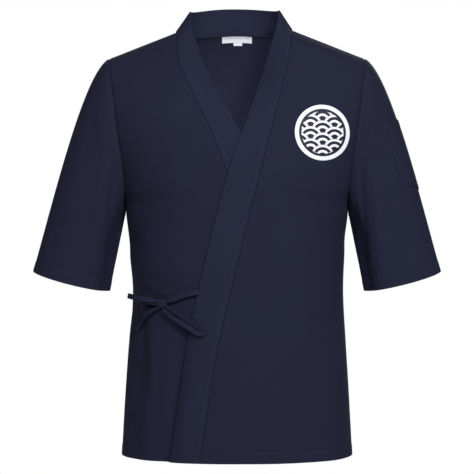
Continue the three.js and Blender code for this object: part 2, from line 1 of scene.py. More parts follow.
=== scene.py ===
import bpy
import numpy as np
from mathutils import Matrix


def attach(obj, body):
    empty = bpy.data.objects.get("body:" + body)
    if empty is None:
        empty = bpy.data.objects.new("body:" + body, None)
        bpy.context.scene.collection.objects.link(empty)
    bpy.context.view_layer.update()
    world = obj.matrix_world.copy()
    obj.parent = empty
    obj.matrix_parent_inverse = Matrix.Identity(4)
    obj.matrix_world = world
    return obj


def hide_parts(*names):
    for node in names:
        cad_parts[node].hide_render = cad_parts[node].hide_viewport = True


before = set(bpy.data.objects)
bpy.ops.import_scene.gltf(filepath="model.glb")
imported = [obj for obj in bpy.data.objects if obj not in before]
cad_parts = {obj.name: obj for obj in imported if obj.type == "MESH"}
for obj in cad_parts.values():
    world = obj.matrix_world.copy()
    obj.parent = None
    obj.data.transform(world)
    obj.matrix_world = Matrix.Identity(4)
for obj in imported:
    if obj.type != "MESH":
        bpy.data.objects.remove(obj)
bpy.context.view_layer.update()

# Body of the jacket: the form that the back, the two fronts and the neck band are cut for. It is the shape
# of a filled-out chest, worked out as one surface in front (-1) and one behind (1), in millimetres, with
# across from -1 at the wearer's right edge to 1 at the left one and level from the hem (0) to the shoulder
# seam (1). The armpit is at level 0.5. One level would be SHOULDER_LENGTH mm long near the shoulder seam.
GAP = 0.3
ARMPIT_LEVEL = 0.5
SQUARENESS = 2.25
FLAT_MIDDLE = 0.4
SIDE_BLEND = 0.12
SHOULDER_LENGTH = 450
SHOULDER_GAP = GAP / 2 / SHOULDER_LENGTH
LEVEL_LENGTH = 1.25
STEP = 1e-3
# level, edge x, edge z, edge front, edge back, middle z, front, back, turn in degrees
BODY = [
    (0.0, 195, -709, 0, 0, -709, 134, 124, 90),
    (0.13, 189, -600, 0, 0, -600, 131, 119, 90),
    (0.25, 183, -500, 0, 0, -500, 128, 111, 90),
    (0.335, 180, -430, 0, 0, -430, 127, 107, 90),
    (0.42, 183, -360, 0, 0, -360, 129, 110, 90),
    (0.5, 188, -297, 0, 0, -297, 131, 115, 90),
    (0.62, 187, -262, 48, 50, -248, 132, 120, 74),
    (0.68, 190, -222, 64, 67, -200, 130, 124, 66),
    (0.735, 196, -180, 70, 74, -152, 123, 125, 62),
    (0.79, 202, -138, 68, 73, -102, 109, 121, 62),
    (0.84, 207, -100, 60, 64, -57, 90, 112, 62),
    (0.89, 212, -70, 46, 49, -14, 65, 93, 62),
    (0.94, 215, -49, 27, 29, 24, 36, 63, 62),
    (1.0, 217, -39, 0, 0, 47, 0, 0, 62),
]


def smooth_table(rows):
    """Reads a table by its first column. Between two rows it is a cubic, whose slope at each row is the
    harmonic mean of the slopes on both sides of it, or nothing at a peak. Gives one array a column."""
    rows = np.array(rows, float)
    at, values = rows[:, 0], rows[:, 1:]
    steps = np.diff(values, axis=0) / np.diff(at)[:, None]
    product = steps[:-1] * steps[1:]
    total = steps[:-1] + steps[1:]
    inner = np.where(product > 0, 2 * product / np.where(total == 0, 1, total), 0)
    slopes = np.vstack([steps[:1], inner, steps[-1:]])

    def read(value):
        value = np.asarray(value, float)
        i = np.clip(np.searchsorted(at, value) - 1, 0, len(at) - 2)
        span = at[i + 1] - at[i]
        s = np.clip((value - at[i]) / span, 0, 1)[..., None]
        bend = s * (1 - s) * span[..., None] * (slopes[i] * (1 - s) - slopes[i + 1] * s)
        column = values[i] + (values[i + 1] - values[i]) * s * s * (3 - 2 * s) + bend
        return np.moveaxis(column, -1, 0)

    return read


def smooth(value, low, high):
    """Eases from 0 at low to 1 at high: 3 s squared less 2 s cubed."""
    s = np.clip((value - low) / (high - low), 0, 1)
    return s * s * (3 - 2 * s)


def unit(vectors):
    """Vectors divided by their lengths."""
    return vectors / np.maximum(np.linalg.norm(vectors, axis=-1, keepdims=True), 1e-12)


body_row = smooth_table(BODY)


def power(value):
    return np.maximum(value, 0) ** (2 / SQUARENESS)


def settled(face, across, level):
    """Places as arrays of one shape. One past a shoulder or side seam goes on into the other face."""
    face, across, level = (np.array(v, float) for v in np.broadcast_arrays(face, across, level))
    over = level > 1
    face, level = np.where(over, -face, face), np.where(over, 2 - level, level)
    beyond = np.abs(across) > 1
    face, across = np.where(beyond, -face, face), np.where(beyond, np.sign(across) * 2 - across, across)
    return face, across, level


def body_shape(face, across, level):
    """A level is a rounded square arc: x is the edge's x times a power of the sine, and the depth goes
    from the edge's to the middle's with the same power of the cosine. The height falls from the middle
    to the edge, with a rounded top."""
    face, across, level = settled(face, across, level)
    edge_x, edge_z, edge_front, edge_back, middle_z, front, back, turn = body_row(np.maximum(level, 0))
    full = np.radians(turn)
    angle = np.abs(across) * full
    out = power(np.sin(angle)) / power(np.sin(full))
    forward = (power(np.cos(angle)) - power(np.cos(full))) / (1 - power(np.cos(full)))
    edge = np.where(face < 0, edge_front, edge_back)
    depth = np.where(face < 0, front, back)
    fall = np.where(out < FLAT_MIDDLE, (out**2 + FLAT_MIDDLE**2) / (2 * FLAT_MIDDLE), out)
    x = np.sign(across) * edge_x * out
    y = face * (edge + (depth - edge) * forward)
    return np.stack([x, y, edge_z + (middle_z - edge_z) * (1 - fall)], -1)


def body_normal(face, across, level):
    """The direction out of the cloth: the cross product of a short step along and one up."""
    face, across, level = np.broadcast_arrays(face, across, level)
    armhole = level > ARMPIT_LEVEL
    out = np.where(armhole, np.minimum(across + STEP, 1), across + STEP)
    back = np.where(armhole, np.maximum(across - STEP, -1), across - STEP)
    along = body_shape(face, out, level) - body_shape(face, back, level)
    up = body_shape(face, across, level + STEP) - body_shape(face, across, np.maximum(level - STEP, 0))
    return unit(np.cross(along, up) * -np.asarray(face, float)[..., None])


# Folds of the body, in front (-1) and behind (1): from x, z to x, z, width and depth. A depth above 0 goes
# in. The broad ones are in the solids too, and the rest are the cloth's own soft creases.
BODY_FOLDS = {
    -1: [
        (-176, -438, -150, -446, 46, 7), (-168, -470, -164, -600, 15, 6), (-112, -500, -132, -700, 20, 4),
        (176, -340, 118, -262, 20, 4), (-178, -350, -122, -262, 20, 4), (150, -520, 158, -705, 24, -4),
    ],
    1: [
        (-182, -320, -96, -250, 22, 5), (182, -325, 104, -240, 22, 5), (-60, -420, -76, -709, 26, 5),
        (74, -400, 96, -709, 24, 5), (8, -430, 2, -709, 30, -4),
    ],
}
BODY_CREASES = {
    -1: [
        (-84, -500, -119, -708, 13, 7), (-103, -16, -106, -62, 6, 1.4), (95, -16, 92, -60, 6, 1.3),
        (-170, -300, -128, -214, 9, 1.6), (-160, -330, -96, -250, 11, -1.3),
        (172, -296, 132, -206, 9, 1.5), (164, -330, 104, -262, 12, -1.2),
        (-176, -400, -112, -424, 8, 1.4), (-170, -470, -118, -462, 8, -1.3),
        (-178, -424, -122, -446, 6, 1.2), (-163, -470, -152, -590, 9, 3.6),
        (-172, -560, -170, -706, 12, 3), (-140, -520, -150, -640, 8, -1.4),
        (-100, -520, -104, -690, 12, 1.6), (-88, -474, -60, -452, 9, 1.1), (20, -560, 12, -700, 13, 1.4),
        (60, -600, 64, -706, 12, -1.2), (96, -560, 110, -700, 14, 1.6), (128, -620, 132, -706, 10, 1.2),
        (60, -330, 24, -430, 16, 1.0), (110, -400, 60, -470, 18, 0.9), (140, -440, 100, -520, 14, -0.9),
    ],
    1: [
        (-170, -300, -120, -216, 10, 1.7), (-164, -346, -104, -286, 12, -1.4),
        (174, -300, 128, -210, 10, 1.7), (166, -346, 110, -280, 12, -1.4),
        (-30, -480, -36, -700, 14, 1.6), (40, -500, 52, -700, 12, -1.3), (120, -560, 130, -704, 12, 1.5),
        (-112, -540, -124, -704, 13, -1.4), (-150, -430, -100, -452, 14, 1.2),
        (150, -424, 96, -448, 13, 1.2), (-90, -380, -20, -396, 18, 1.0), (84, -372, 24, -392, 16, 1.0),
        (-60, -90, -74, -230, 16, 1.2), (58, -84, 70, -220, 15, 1.1),
    ],
}


def troughs(folds, u, v):
    """Adds up the folds' depths: each falls off as exp of minus the square of the distance to its line
    divided by its width."""
    depth = np.zeros(np.shape(u))
    for u0, v0, u1, v1, width, deep in folds:
        du, dv = u1 - u0, v1 - v0
        s = np.clip(((u - u0) * du + (v - v0) * dv) / (du * du + dv * dv), 0, 1)
        away = np.hypot(u - u0 - s * du, v - v0 - s * dv)
        depth += deep * np.exp(-((away / width) ** 2))
    return depth


def body_troughs(face, place, across, level):
    """The folds fade out towards the shoulders, and beside the armpit before they reach the seam."""
    below = 1 - smooth(level, ARMPIT_LEVEL, 0.66)
    inside = smooth(1 - np.abs(across), 0, 0.2)
    near = smooth(level, 0.38, ARMPIT_LEVEL)
    share = below * (1 + (inside - 1) * near)
    broad, fine = (troughs(folds[face], place[..., 0], place[..., 2]) for folds in (BODY_FOLDS, BODY_CREASES))
    return broad * share + fine * smooth(1 - np.abs(across), 0, 0.15) * (1 - smooth(level, 0.9, 0.98))


def body_surface(face, across, level):
    """The body's points with its folds, and the directions out of the cloth. Both faces share the folds'
    depth at the side seams."""
    face, across, level = settled(face, across, level)
    place = body_shape(face, across, level)
    front, back = (body_troughs(each, place, across, level) for each in (-1, 1))
    sideways = np.minimum(1, (1 - np.abs(across)) / SIDE_BLEND)
    own = np.where(face < 0, front, back)
    depth = (front + back) / 2 * (1 - sideways) + own * sideways
    nearest = np.where(level >= 1 - SHOULDER_GAP, 1, level)
    normal = body_normal(face, across, nearest)
    return place - normal * depth[..., None], normal


def across_at(face, level, line_x):
    """The place across a level where x passes a line: found by halving the range 40 times."""
    low, high = -np.ones(np.shape(level)), np.ones(np.shape(level))
    for _ in range(40):
        middle = (low + high) / 2
        place = body_shape(face, middle, level)
        left = place[..., 0] < line_x(place[..., 2])
        low, high = np.where(left, middle, low), np.where(left, high, middle)
    return (low + high) / 2


def places(length, first, last, step):
    """Places from 0 to 1 along a length: the marks near each end, in mm, then every step between."""
    low, high = np.array(first, float), length - np.array(last, float)[::-1]
    count = int(np.ceil((high[0] - low[-1]) / step))
    return np.concatenate([low, np.linspace(low[-1], high[0], count + 1)[1:-1], high]) / length


def run(points, axis):
    """Distance along a grid's rows or columns from its first edge, in mm."""
    steps = np.linalg.norm(np.diff(points, axis=axis), axis=-1)
    start = np.zeros_like(np.take(steps, [0], axis=axis))
    return np.concatenate([start, np.cumsum(steps, axis=axis)], axis=axis)


def edges(points):
    """Distances to a grid's first row, last row, first column and last column, in mm."""
    up, along = run(points, 0), run(points, 1)
    return up, up[-1:] - up, along, along[:, -1:] - along


def bump(distance, at, width):
    """A soft ridge of height 1 at a distance: exp of minus the square of what is left over by width."""
    return np.exp(-(((distance - at) / width) ** 2))


def rounded(distance, half):
    """Half the thickness of cloth near its edge: a quarter circle that starts a little above nothing."""
    s = np.clip(distance / half, 0, 1)
    return half * np.maximum(np.sqrt(1 - (1 - s) ** 2), 0.15)


def new_object(name, data):
    """Puts a mesh, a lamp or a camera into the scene."""
    made = bpy.data.objects.new(name, data)
    bpy.context.collection.objects.link(made)
    return made


def shell(name, outer, inner, uv, closed=False):
    """A closed wall between two grids of points in mm, with faces turned outwards by its volume's sign.
    uv holds metres along and up, with one more column than the grids where they close round."""
    rows, columns = outer.shape[:2]
    points = np.concatenate([outer.reshape(-1, 3), inner.reshape(-1, 3)]) * 0.001
    half = rows * columns
    wide = columns if closed else columns - 1
    i, j = (g.ravel() for g in np.meshgrid(np.arange(rows - 1), np.arange(wide), indexing="ij"))
    cell = [(i, j), (i, j + 1), (i + 1, j + 1), (i + 1, j)]
    top = np.full(wide, rows - 1)
    low, line = np.zeros(wide, int), np.arange(wide)
    side_i = np.arange(rows - 1)
    zero, last = np.zeros(rows - 1, int), np.full(rows - 1, columns - 1)
    groups = [[(0, *c) for c in cell], [(1, *c) for c in cell[::-1]]]
    groups.append([(1, low, line), (1, low, line + 1), (0, low, line + 1), (0, low, line)])
    groups.append([(0, top, line), (0, top, line + 1), (1, top, line + 1), (1, top, line)])
    if not closed:
        groups.append([(0, side_i, zero), (0, side_i + 1, zero), (1, side_i + 1, zero), (1, side_i, zero)])
        groups.append([(1, side_i, last), (1, side_i + 1, last), (0, side_i + 1, last), (0, side_i, last)])
    corners, spots = [], []
    for group in groups:
        corners.append(np.stack([layer * half + a * columns + b % columns for layer, a, b in group], -1))
        spots.append(np.stack([a * uv.shape[1] + b for layer, a, b in group], -1))
    corners, spots = np.concatenate(corners), np.concatenate(spots)
    first = points[corners]
    volume = np.einsum("ij,ij->i", np.cross(first[:, 0], first[:, 1]), first[:, 2]).sum()
    volume += np.einsum("ij,ij->i", np.cross(first[:, 0], first[:, 2]), first[:, 3]).sum()
    if volume < 0:
        corners, spots = corners[:, ::-1], spots[:, ::-1]
    mesh = bpy.data.meshes.new(name)
    mesh.vertices.add(len(points))
    mesh.vertices.foreach_set("co", points.ravel())
    mesh.loops.add(corners.size)
    mesh.loops.foreach_set("vertex_index", corners.ravel().astype(np.int32))
    mesh.polygons.add(len(corners))
    mesh.polygons.foreach_set("loop_start", np.arange(0, corners.size, 4, dtype=np.int32))
    mesh.polygons.foreach_set("use_smooth", np.ones(len(corners), bool))
    layer = mesh.uv_layers.new(name="cloth")
    layer.data.foreach_set("uv", (uv.reshape(-1, 2)[spots.ravel()]).astype(np.float32).ravel())
    mesh.update()
    return new_object(name, mesh)


def wall(name, middle, normals, half, uv, closed=False):
    """A shell that goes out from a middle grid by half its thickness on both sides."""
    reach = normals * half[..., None]
    return shell(name, middle + reach, middle - reach, uv, closed)


def finish_piece(piece, material, node):
    """Gives a piece its material, lets it ride with the jacket and stand for its solid."""
    piece.data.materials.append(material)
    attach(piece, "root")
    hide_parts(node)


def linear(hex_colour):
    """An sRGB hex colour turned to linear: c / 12.92 when dark, else ((c + 0.055) / 1.055) to the 2.4."""
    c = np.array([int(hex_colour[i : i + 2], 16) for i in (1, 3, 5)]) / 255
    return (*np.where(c <= 0.04045, c / 12.92, ((c + 0.055) / 1.055) ** 2.4), 1.0)


def feed(tree, made, inputs):
    """Gives a node's sockets, each by its name or number, a value or another socket."""
    for socket, value in inputs:
        if isinstance(value, bpy.types.NodeSocket):
            tree.links.new(value, made.inputs[socket])
        else:
            made.inputs[socket].default_value = value
    return made


def node(tree, kind, inputs=(), **settings):
    """Adds a node to a material, with its settings and inputs."""
    made = tree.nodes.new("ShaderNode" + kind)
    for key, value in settings.items():
        setattr(made, key, value)
    return feed(tree, made, inputs)


def between_colours(tree, share, dark, light):
    """Mixes two hex colours by a share."""
    colours = [(0, share), (6, linear(dark)), (7, linear(light))]
    return node(tree, "Mix", colours, data_type="RGBA").outputs[2]


def bumps(tree, height, strength, depth):
    """Directions of a surface with small heights, depth in metres."""
    return node(tree, "Bump", [("Strength", strength), ("Distance", depth), ("Height", height)]).outputs[0]


def new_material(name):
    """A material, its tree of nodes and its main shader."""
    material = bpy.data.materials.new(name)
    material.use_nodes = True
    return material, material.node_tree, material.node_tree.nodes["Principled BSDF"]


# Poly-cotton twill, woven in two close yarns and dyed dark navy: matt, with a faint sheen at grazing angles
# and fine diagonal ribs. The ribs are 0.5 mm apart on the real cloth, drawn here every 1.2 mm to show. A wave
# texture repeats once in a length, in metres, when its scale is WAVE_SCALE divided by that length.
RIB = 0.0012
WAVE_SCALE = 0.314


def poly_cotton_twill(name, dark, light):
    """Colour runs between two shades with broad soft noise and a fine one, and the ribs are waves along a
    direction turned by 1.1 radians, as a bump of a tenth of a millimetre."""
    material, tree, cloth = new_material(name)
    uv = node(tree, "UVMap", uv_map="cloth").outputs[0]
    turned = node(tree, "Mapping", [(0, uv), ("Rotation", (0, 0, 1.1))]).outputs[0]
    drawn = [(0, turned), ("Scale", WAVE_SCALE / RIB), ("Distortion", 0.6), ("Detail", 1.0)]
    ribs = node(tree, "TexWave", drawn).outputs[0]
    place = node(tree, "TexCoord").outputs["Object"]
    broad = node(tree, "TexNoise", [(0, place), ("Scale", 9.0), ("Detail", 3.0)]).outputs[0]
    slub = node(tree, "TexNoise", [(0, uv), ("Scale", 900.0), ("Detail", 2.0)]).outputs[0]
    tone = node(tree, "Math", [(0, broad), (1, 0.75)], operation="MULTIPLY").outputs[0]
    tone = node(tree, "Math", [(0, slub), (1, 0.25), (2, tone)], operation="MULTIPLY_ADD").outputs[0]
    rough = node(tree, "MapRange", [(0, slub), (3, 0.78), (4, 0.92)]).outputs[0]
    fuzz = node(tree, "Math", [(0, slub), (1, 0.5), (2, ribs)], operation="MULTIPLY_ADD").outputs[0]
    feed(tree, cloth, [
        ("Base Color", between_colours(tree, tone, dark, light)), ("Roughness", rough),
        ("Normal", bumps(tree, fuzz, 0.35, 0.0001)), ("Specular IOR Level", 0.1), ("Sheen Weight", 0.04),
        ("Sheen Roughness", 0.5), ("Sheen Tint", linear("#8f92b8")),
    ])
    return material


navy_twill = poly_cotton_twill("navy poly-cotton twill", "#1e1d2d", "#222539")

# Back: one panel of the twill from side seam to side seam, with the neck cut out. Its bottom is turned up
# twice and stitched 18 mm from the edge, and its seams are turned in.
PANEL_LENGTH = 760
BACK_WIDTH = 560
TOP_HALF_WIDTH = 230
CLOTH = 1.1
NECK_RIGHT, NECK_LEFT = -103, 93
BACK_NECK_LEVEL = 0.938
HEM = 18
SEAM_ROW = 7
SEAM_MARKS = [0, 0.15, 0.35, 0.7, 1.2, 2, 3, 4.5, 6, 7, 8, 10, 13]
HEM_MARKS = [0, 0.15, 0.35, 0.7, 1.2, 2, 4, 8, 12, 15, 16.5, 17.3, 18, 18.7, 19.5, 21, 24]


def seam_dip(distance):
    """Cloth turns in towards a seam: a groove 0.9 mm deep, and a low ridge over the turned-in edge."""
    ridge = 0.25 * bump(distance, 5, 3.5)
    return -0.9 * bump(distance, 0, 1.3) + ridge - 0.12 * bump(distance, SEAM_ROW, 0.8)


def hem_step(distance):
    """A turned-up hem lies 0.5 mm proud up to its row of stitches, which pulls it in."""
    return 0.5 * (1 - smooth(distance, HEM - 0.5, HEM + 1.5)) - 0.45 * bump(distance, HEM, 1.1)


def pucker(along, seed):
    """Small waves of stitched cloth, uneven in length: the product of two sines and a third one added."""
    return np.sin(along / 3.1 + seed) * np.sin(along / 13.7 + 2 * seed) + 0.6 * np.sin(along / 7.9 + 3 * seed)


def hem_pucker(along, seed, distance):
    """The puckers of the hem's row of stitches, which die away on both sides of it."""
    return 0.12 * pucker(along, seed) * np.exp(-np.abs(distance - HEM) / 9)


def edge_across(level):
    """The place of the side seam, which leaves half a gap, and of the armhole seam above the armpit."""
    gap = GAP / 2 / (body_row(level)[0] * LEVEL_LENGTH)
    return np.where(level > ARMPIT_LEVEL, 1, 1 - gap)


def panel(name, points, normals, lift, thickness=CLOTH):
    """A sheet on the body's points: lifted along its normals, with rounded edges, inside by its thickness."""
    low, high, first, last = edges(points)
    nearest = np.minimum(np.minimum(low, high), np.minimum(first, last))
    middle = points + normals * (lift - thickness / 2)[..., None]
    return wall(name, middle, normals, rounded(nearest, thickness / 2), np.stack([first, low], -1) * 0.001)


neck_start, neck_end = (
    float(across_at(1, np.array(1.0), lambda z: x + 0 * z)) for x in (NECK_RIGHT, NECK_LEFT))


def back_top(share):
    """The back neck's level at a place across: an ellipse below the shoulder seam."""
    turn = 2 * (share - neck_start) / (neck_end - neck_start) - 1
    return 1 - (1 - BACK_NECK_LEVEL) * np.sqrt(np.maximum(0, 1 - turn**2))


def back_surface(share, level):
    """The body's back, with the levels above the armpit drawn together below the neck."""
    top = ARMPIT_LEVEL + (level - ARMPIT_LEVEL) / (1 - ARMPIT_LEVEL) * (back_top(share) - ARMPIT_LEVEL)
    raised = np.where(level <= ARMPIT_LEVEL, level, top)
    return body_surface(1, share * edge_across(raised), np.minimum(raised, 1 - SHOULDER_GAP))


# Stitches of all the rows that are sewn in the sections below, for the topstitching at the end. In mm: from
# one to the next, the ends of a row left free, and how far ahead a stitch's direction is read.
STITCH_PITCH = 3.0
STITCH_ENDS = 2
STITCH_AIM = 0.4
rows_of_stitches = []


def line_at(grid, distance, at):
    """Where each column of a grid passes a distance from an edge, read between its rows."""
    line = np.empty((grid.shape[1], 3))
    for column in range(grid.shape[1]):
        away, spots = distance[:, column], grid[:, column]
        order = np.argsort(away)
        line[column] = [np.interp(at, away[order], spots[order, axis]) for axis in range(3)]
    return line


def along_line(line, length, marks):
    """A line's points at some distances along it."""
    return np.stack([np.interp(marks, length, axis) for axis in line.T], -1)


def stitch(surface, normals, distance, at, pitch=STITCH_PITCH):
    """Marks one stitch every few mm along a row: its middle, its direction and the one out of the cloth."""
    line, out = line_at(surface, distance, at), line_at(normals, distance, at)
    length = run(line[:, None], 0)[:, 0]
    marks = np.arange(STITCH_ENDS, length[-1] - STITCH_ENDS, pitch)
    spots = along_line(line, length, marks)
    ahead = unit(along_line(line, length, marks + STITCH_AIM) - spots)
    rows_of_stitches.append((spots, ahead, along_line(out, length, marks)))


def stitch_up(surface, normals, distance, at):
    """The same for a row that goes up a grid, beside its first or last column."""
    stitch(surface.swapaxes(0, 1), normals.swapaxes(0, 1), distance.T, at)


# The neck's ellipse is steep at its two corners, so the back's columns are close together beside them, and
# the panel's even columns give way there.
LEVELS = places(PANEL_LENGTH, HEM_MARKS, SEAM_MARKS, 5)
back_shares = places(BACK_WIDTH, SEAM_MARKS, SEAM_MARKS, 5) * 2 - 1
neck_marks = np.array([0, 0.2, 0.6, 1.2, 2.2, 3.6, 5.5, 8, 11, 15, 20]) / TOP_HALF_WIDTH
neck_shares = np.concatenate([neck_start + neck_marks, neck_end - neck_marks])
clear = np.abs(back_shares[:, None] - neck_shares).min(1) > neck_marks[4] / 2
back_shares = np.sort(np.concatenate([back_shares[clear], neck_shares]))
share, level = np.meshgrid(back_shares, LEVELS)
points, normals = back_surface(share, level)
low, high, first, last = edges(points)
side = np.minimum(first, last)
lift = seam_dip(side) + seam_dip(high) + hem_step(low)
lift = lift + hem_pucker(first, 1.0, low)
surface = points + normals * lift[..., None]
stitch(surface, normals, low, HEM)
for beside in (share[0] < neck_start, share[0] > neck_end):
    stitch(surface[:, beside], normals[:, beside], high[:, beside], SEAM_ROW)
back = panel("back_panel", points, normals, lift)
finish_piece(back, navy_twill, "back")

# Fronts: two panels like the back, from the side seam to the slanted seam of the neck band. The wearer's
# left one lies on top, so it is lifted over the free edge below it.
FRONT_WIDTH = 250
WRAP_LIFT = 4.6
WRAP_BEYOND = 4
WRAP_FADE = 60
WRAP_TOP = (-185, -110)
# z and x of the band's seams, with x growing towards each front's own side: the top one and the one under
TOP_SEAM = [
    (-709, -60), (-622, -47), (-528, -32), (-439, -12), (-327, 14.6), (-232, 38.5), (-128, 65.5), (-74, 78.5),
    (-42, 86.5), (-20, 91), (8, NECK_LEFT),
]
UNDER_SEAM = [
    (-709, -66), (-622, -58), (-528, -50), (-439, -38), (-330, -14), (-260, 8), (-216, 24), (-173, 41),
    (-119, 66), (-91, 79), (-68, 89.5), (-38, 99.5), (8, -NECK_RIGHT),
]
# level, the band's width from the front, how far its free edge leans back, and how far it rises
TOP_STAND = [
    (0.0, 51, 0, 0), (0.5, 53, 0, 0), (0.66, 51, 0, 0), (0.735, 44, 6, 1), (0.79, 40, 14, 2),
    (0.84, 36, 21, 4), (0.89, 33.5, 22, 6), (0.94, 26, 13, 14), (1.0, 21.9, 0, 25),
]
UNDER_STAND = [
    (0.0, 51, 0, 0), (0.5, 52, 0, 0), (0.66, 50, 0, 0), (0.735, 46, 6, 1), (0.79, 42, 14, 2),
    (0.84, 40, 21, 4), (0.89, 35.5, 22, 6), (0.94, 25.5, 13, 14), (1.0, 24.2, 0, 25),
]
band_seam = {1: smooth_table(TOP_SEAM), -1: smooth_table(UNDER_SEAM)}
band_stand = {1: smooth_table(TOP_STAND), -1: smooth_table(UNDER_STAND)}


def seam_x(side):
    return lambda z: side * band_seam[side](z)[0]


def wrap_lift(side, place, level):
    """The top front stands off by a fixed height where the lower one's free edge is under it, and comes
    down over a breadth past that edge and towards the neck."""
    if side < 0:
        return np.zeros(place.shape[:-1])
    under = band_stand[-1](level)[0] - band_seam[-1](place[..., 2])[0] + WRAP_BEYOND
    over = 1 - smooth(place[..., 0], under, under + WRAP_FADE)
    return WRAP_LIFT * over * (1 - smooth(place[..., 2], *WRAP_TOP))


def front_surface(side, share, level):
    """From the band's seam (share 0) to the side seam or the armhole (1), on the body's front."""
    low = np.minimum(level, 1 - SHOULDER_GAP)
    seam = across_at(-1, low, lambda z: seam_x(side)(z) + side * GAP / 2)
    across = seam + (side * edge_across(low) - seam) * share
    points, normals = body_surface(-1, across, low)
    raised = wrap_lift(side, body_shape(-1, across, low), low)
    return points + normals * raised[..., None], normals


front_shares = places(FRONT_WIDTH, SEAM_MARKS, SEAM_MARKS, 5)
for side, name in [(1, "left"), (-1, "right")]:
    share, level = np.meshgrid(front_shares, LEVELS)
    points, normals = front_surface(side, share, level)
    low, high, first, last = edges(points)
    lift = 0.4 * seam_dip(first) + seam_dip(last) + seam_dip(high) + hem_step(low)
    lift = lift + hem_pucker(first, 2.0 + side, low)
    surface = points + normals * lift[..., None]
    stitch(surface, normals, low, HEM)
    front = panel("front_panel_" + name, points, normals, lift)
    finish_piece(front, navy_twill, "front_" + name)

# Neck band: one long straight strip, folded double and pressed, from the hem up each front and round the
# back of the neck, where it stands. It is stitched along its seam, and its free edge is the fold.
BAND_WIDTH = 52
BAND_ROW = 5
COLLAR_LENGTH = 230
COLLAR_ENDS = [0, 0.3, 1, 3, 6]
BAND_CLOTH = 2.0
BAND_CURL = 1.3
COLLAR_TOP = (41, 53, 43.5)
COLLAR_LEAN = 9
COLLAR_NARROWING = 0.235
FOLD_MARKS = [0, 0.1, 0.25, 0.5, 0.8, 1.2, 2, 3.5, 5, 6, 7, 9]


def band_surface(side, share, level):
    """From its seam (share 0) to its free edge (1): on the chest, then leaning back and standing up."""
    width, back, rise = band_stand[side](level)
    low = np.minimum(level, 1 - SHOULDER_GAP)
    line = side * (GAP / 2 + width * share)
    across = across_at(-1, low, lambda z: seam_x(side)(z) - line)
    points, normals = body_surface(-1, across, low)
    points = points + normals * wrap_lift(side, body_shape(-1, across, low), low)[..., None]
    points[..., 1] += back * share**BAND_CURL
    points[..., 2] += rise * share
    return points


def collar_surface(turn, share):
    """Behind the neck the strip goes up from the back's neck edge, narrowing and leaning in, to a top line
    whose height falls from the middle to each shoulder with the square of the turn."""
    across = neck_start + (turn + 1) / 2 * (neck_end - neck_start)
    seam, _ = body_surface(1, across, np.minimum(back_top(across), 1 - SHOULDER_GAP))
    x = seam[..., 0] * (1 - COLLAR_NARROWING * share)
    y = seam[..., 1] - COLLAR_LEAN * share * (1 - np.abs(turn) ** 3)
    top = COLLAR_TOP[1] + (np.where(turn < 0, COLLAR_TOP[0], COLLAR_TOP[2]) - COLLAR_TOP[1]) * turn**2
    low = seam[..., 2] + GAP
    return np.stack([x, y, low + (top - low) * share], -1)


def grid_normals(points, sign):
    """Directions out of a grid: the cross product of its columns' and rows' gradients."""
    up, along = np.gradient(points, axis=0), np.gradient(points, axis=1)
    return unit(np.cross(along, up)) * sign


def band_lift(seam, fold):
    """The seam's edge turns in, a row of stitches pulls the cloth in 5 mm from it, and the fold is full."""
    return -0.4 * bump(seam, 0, 1.2) - 0.25 * bump(seam, BAND_ROW, 0.9) + 0.2 * bump(fold, 3, 3)


band_shares = places(BAND_WIDTH, SEAM_MARKS[:9], FOLD_MARKS[:9], 4)
band_levels = places(PANEL_LENGTH, HEM_MARKS, COLLAR_ENDS, 4)
pressed_twill = poly_cotton_twill("navy poly-cotton twill, pressed", "#1f1f30", "#24273c")
for side, name in [(1, "left"), (-1, "right")]:
    share, level = np.meshgrid(band_shares, band_levels)
    points = band_surface(side, share, level)
    normals = grid_normals(points, -side)
    low, high, seam, fold = edges(points)
    lift = band_lift(seam, fold) + 0.5 * hem_step(low)
    surface = points + normals * lift[..., None]
    stitch_up(surface, normals, seam, BAND_ROW)
    band = panel("neck_band_" + name, points, normals, lift, BAND_CLOTH)
    finish_piece(band, pressed_twill, "band_" + name)
turn, share = np.meshgrid(places(COLLAR_LENGTH, COLLAR_ENDS, COLLAR_ENDS, 3) * 2 - 1, band_shares)
points = collar_surface(turn, share)
normals = grid_normals(points, 1)
seam, fold, first, last = edges(points)
lift = band_lift(seam, fold)
stitch(points + normals * lift[..., None], normals, seam, BAND_ROW)
collar = panel("neck_band", points, normals, lift, BAND_CLOTH)
finish_piece(collar, pressed_twill, "band_back")

# Sleeves: one piece each, sewn to a tube under the arm and set into the armhole, with a stitched hem. They
# run from the armhole's own points (along 0) to the cuff's oval (along 1); around goes from the top (0)
# past the front (0.25).
SLEEVE_LENGTH = 390
CUFF_ROUND = 400
CUFF = {"x": 280, "y": -10, "z": -416, "wide": 67, "deep": 53, "slope": 14.4, "front_drop": 5}
SLEEVE_TOP = {"leave": (130, 0, -60), "reach": (95, 0, -330)}
SLEEVE_UNDER = {"leave": (27, 0, -136), "reach": (27, 0, -136)}
SLEEVE_FULLNESS = 22
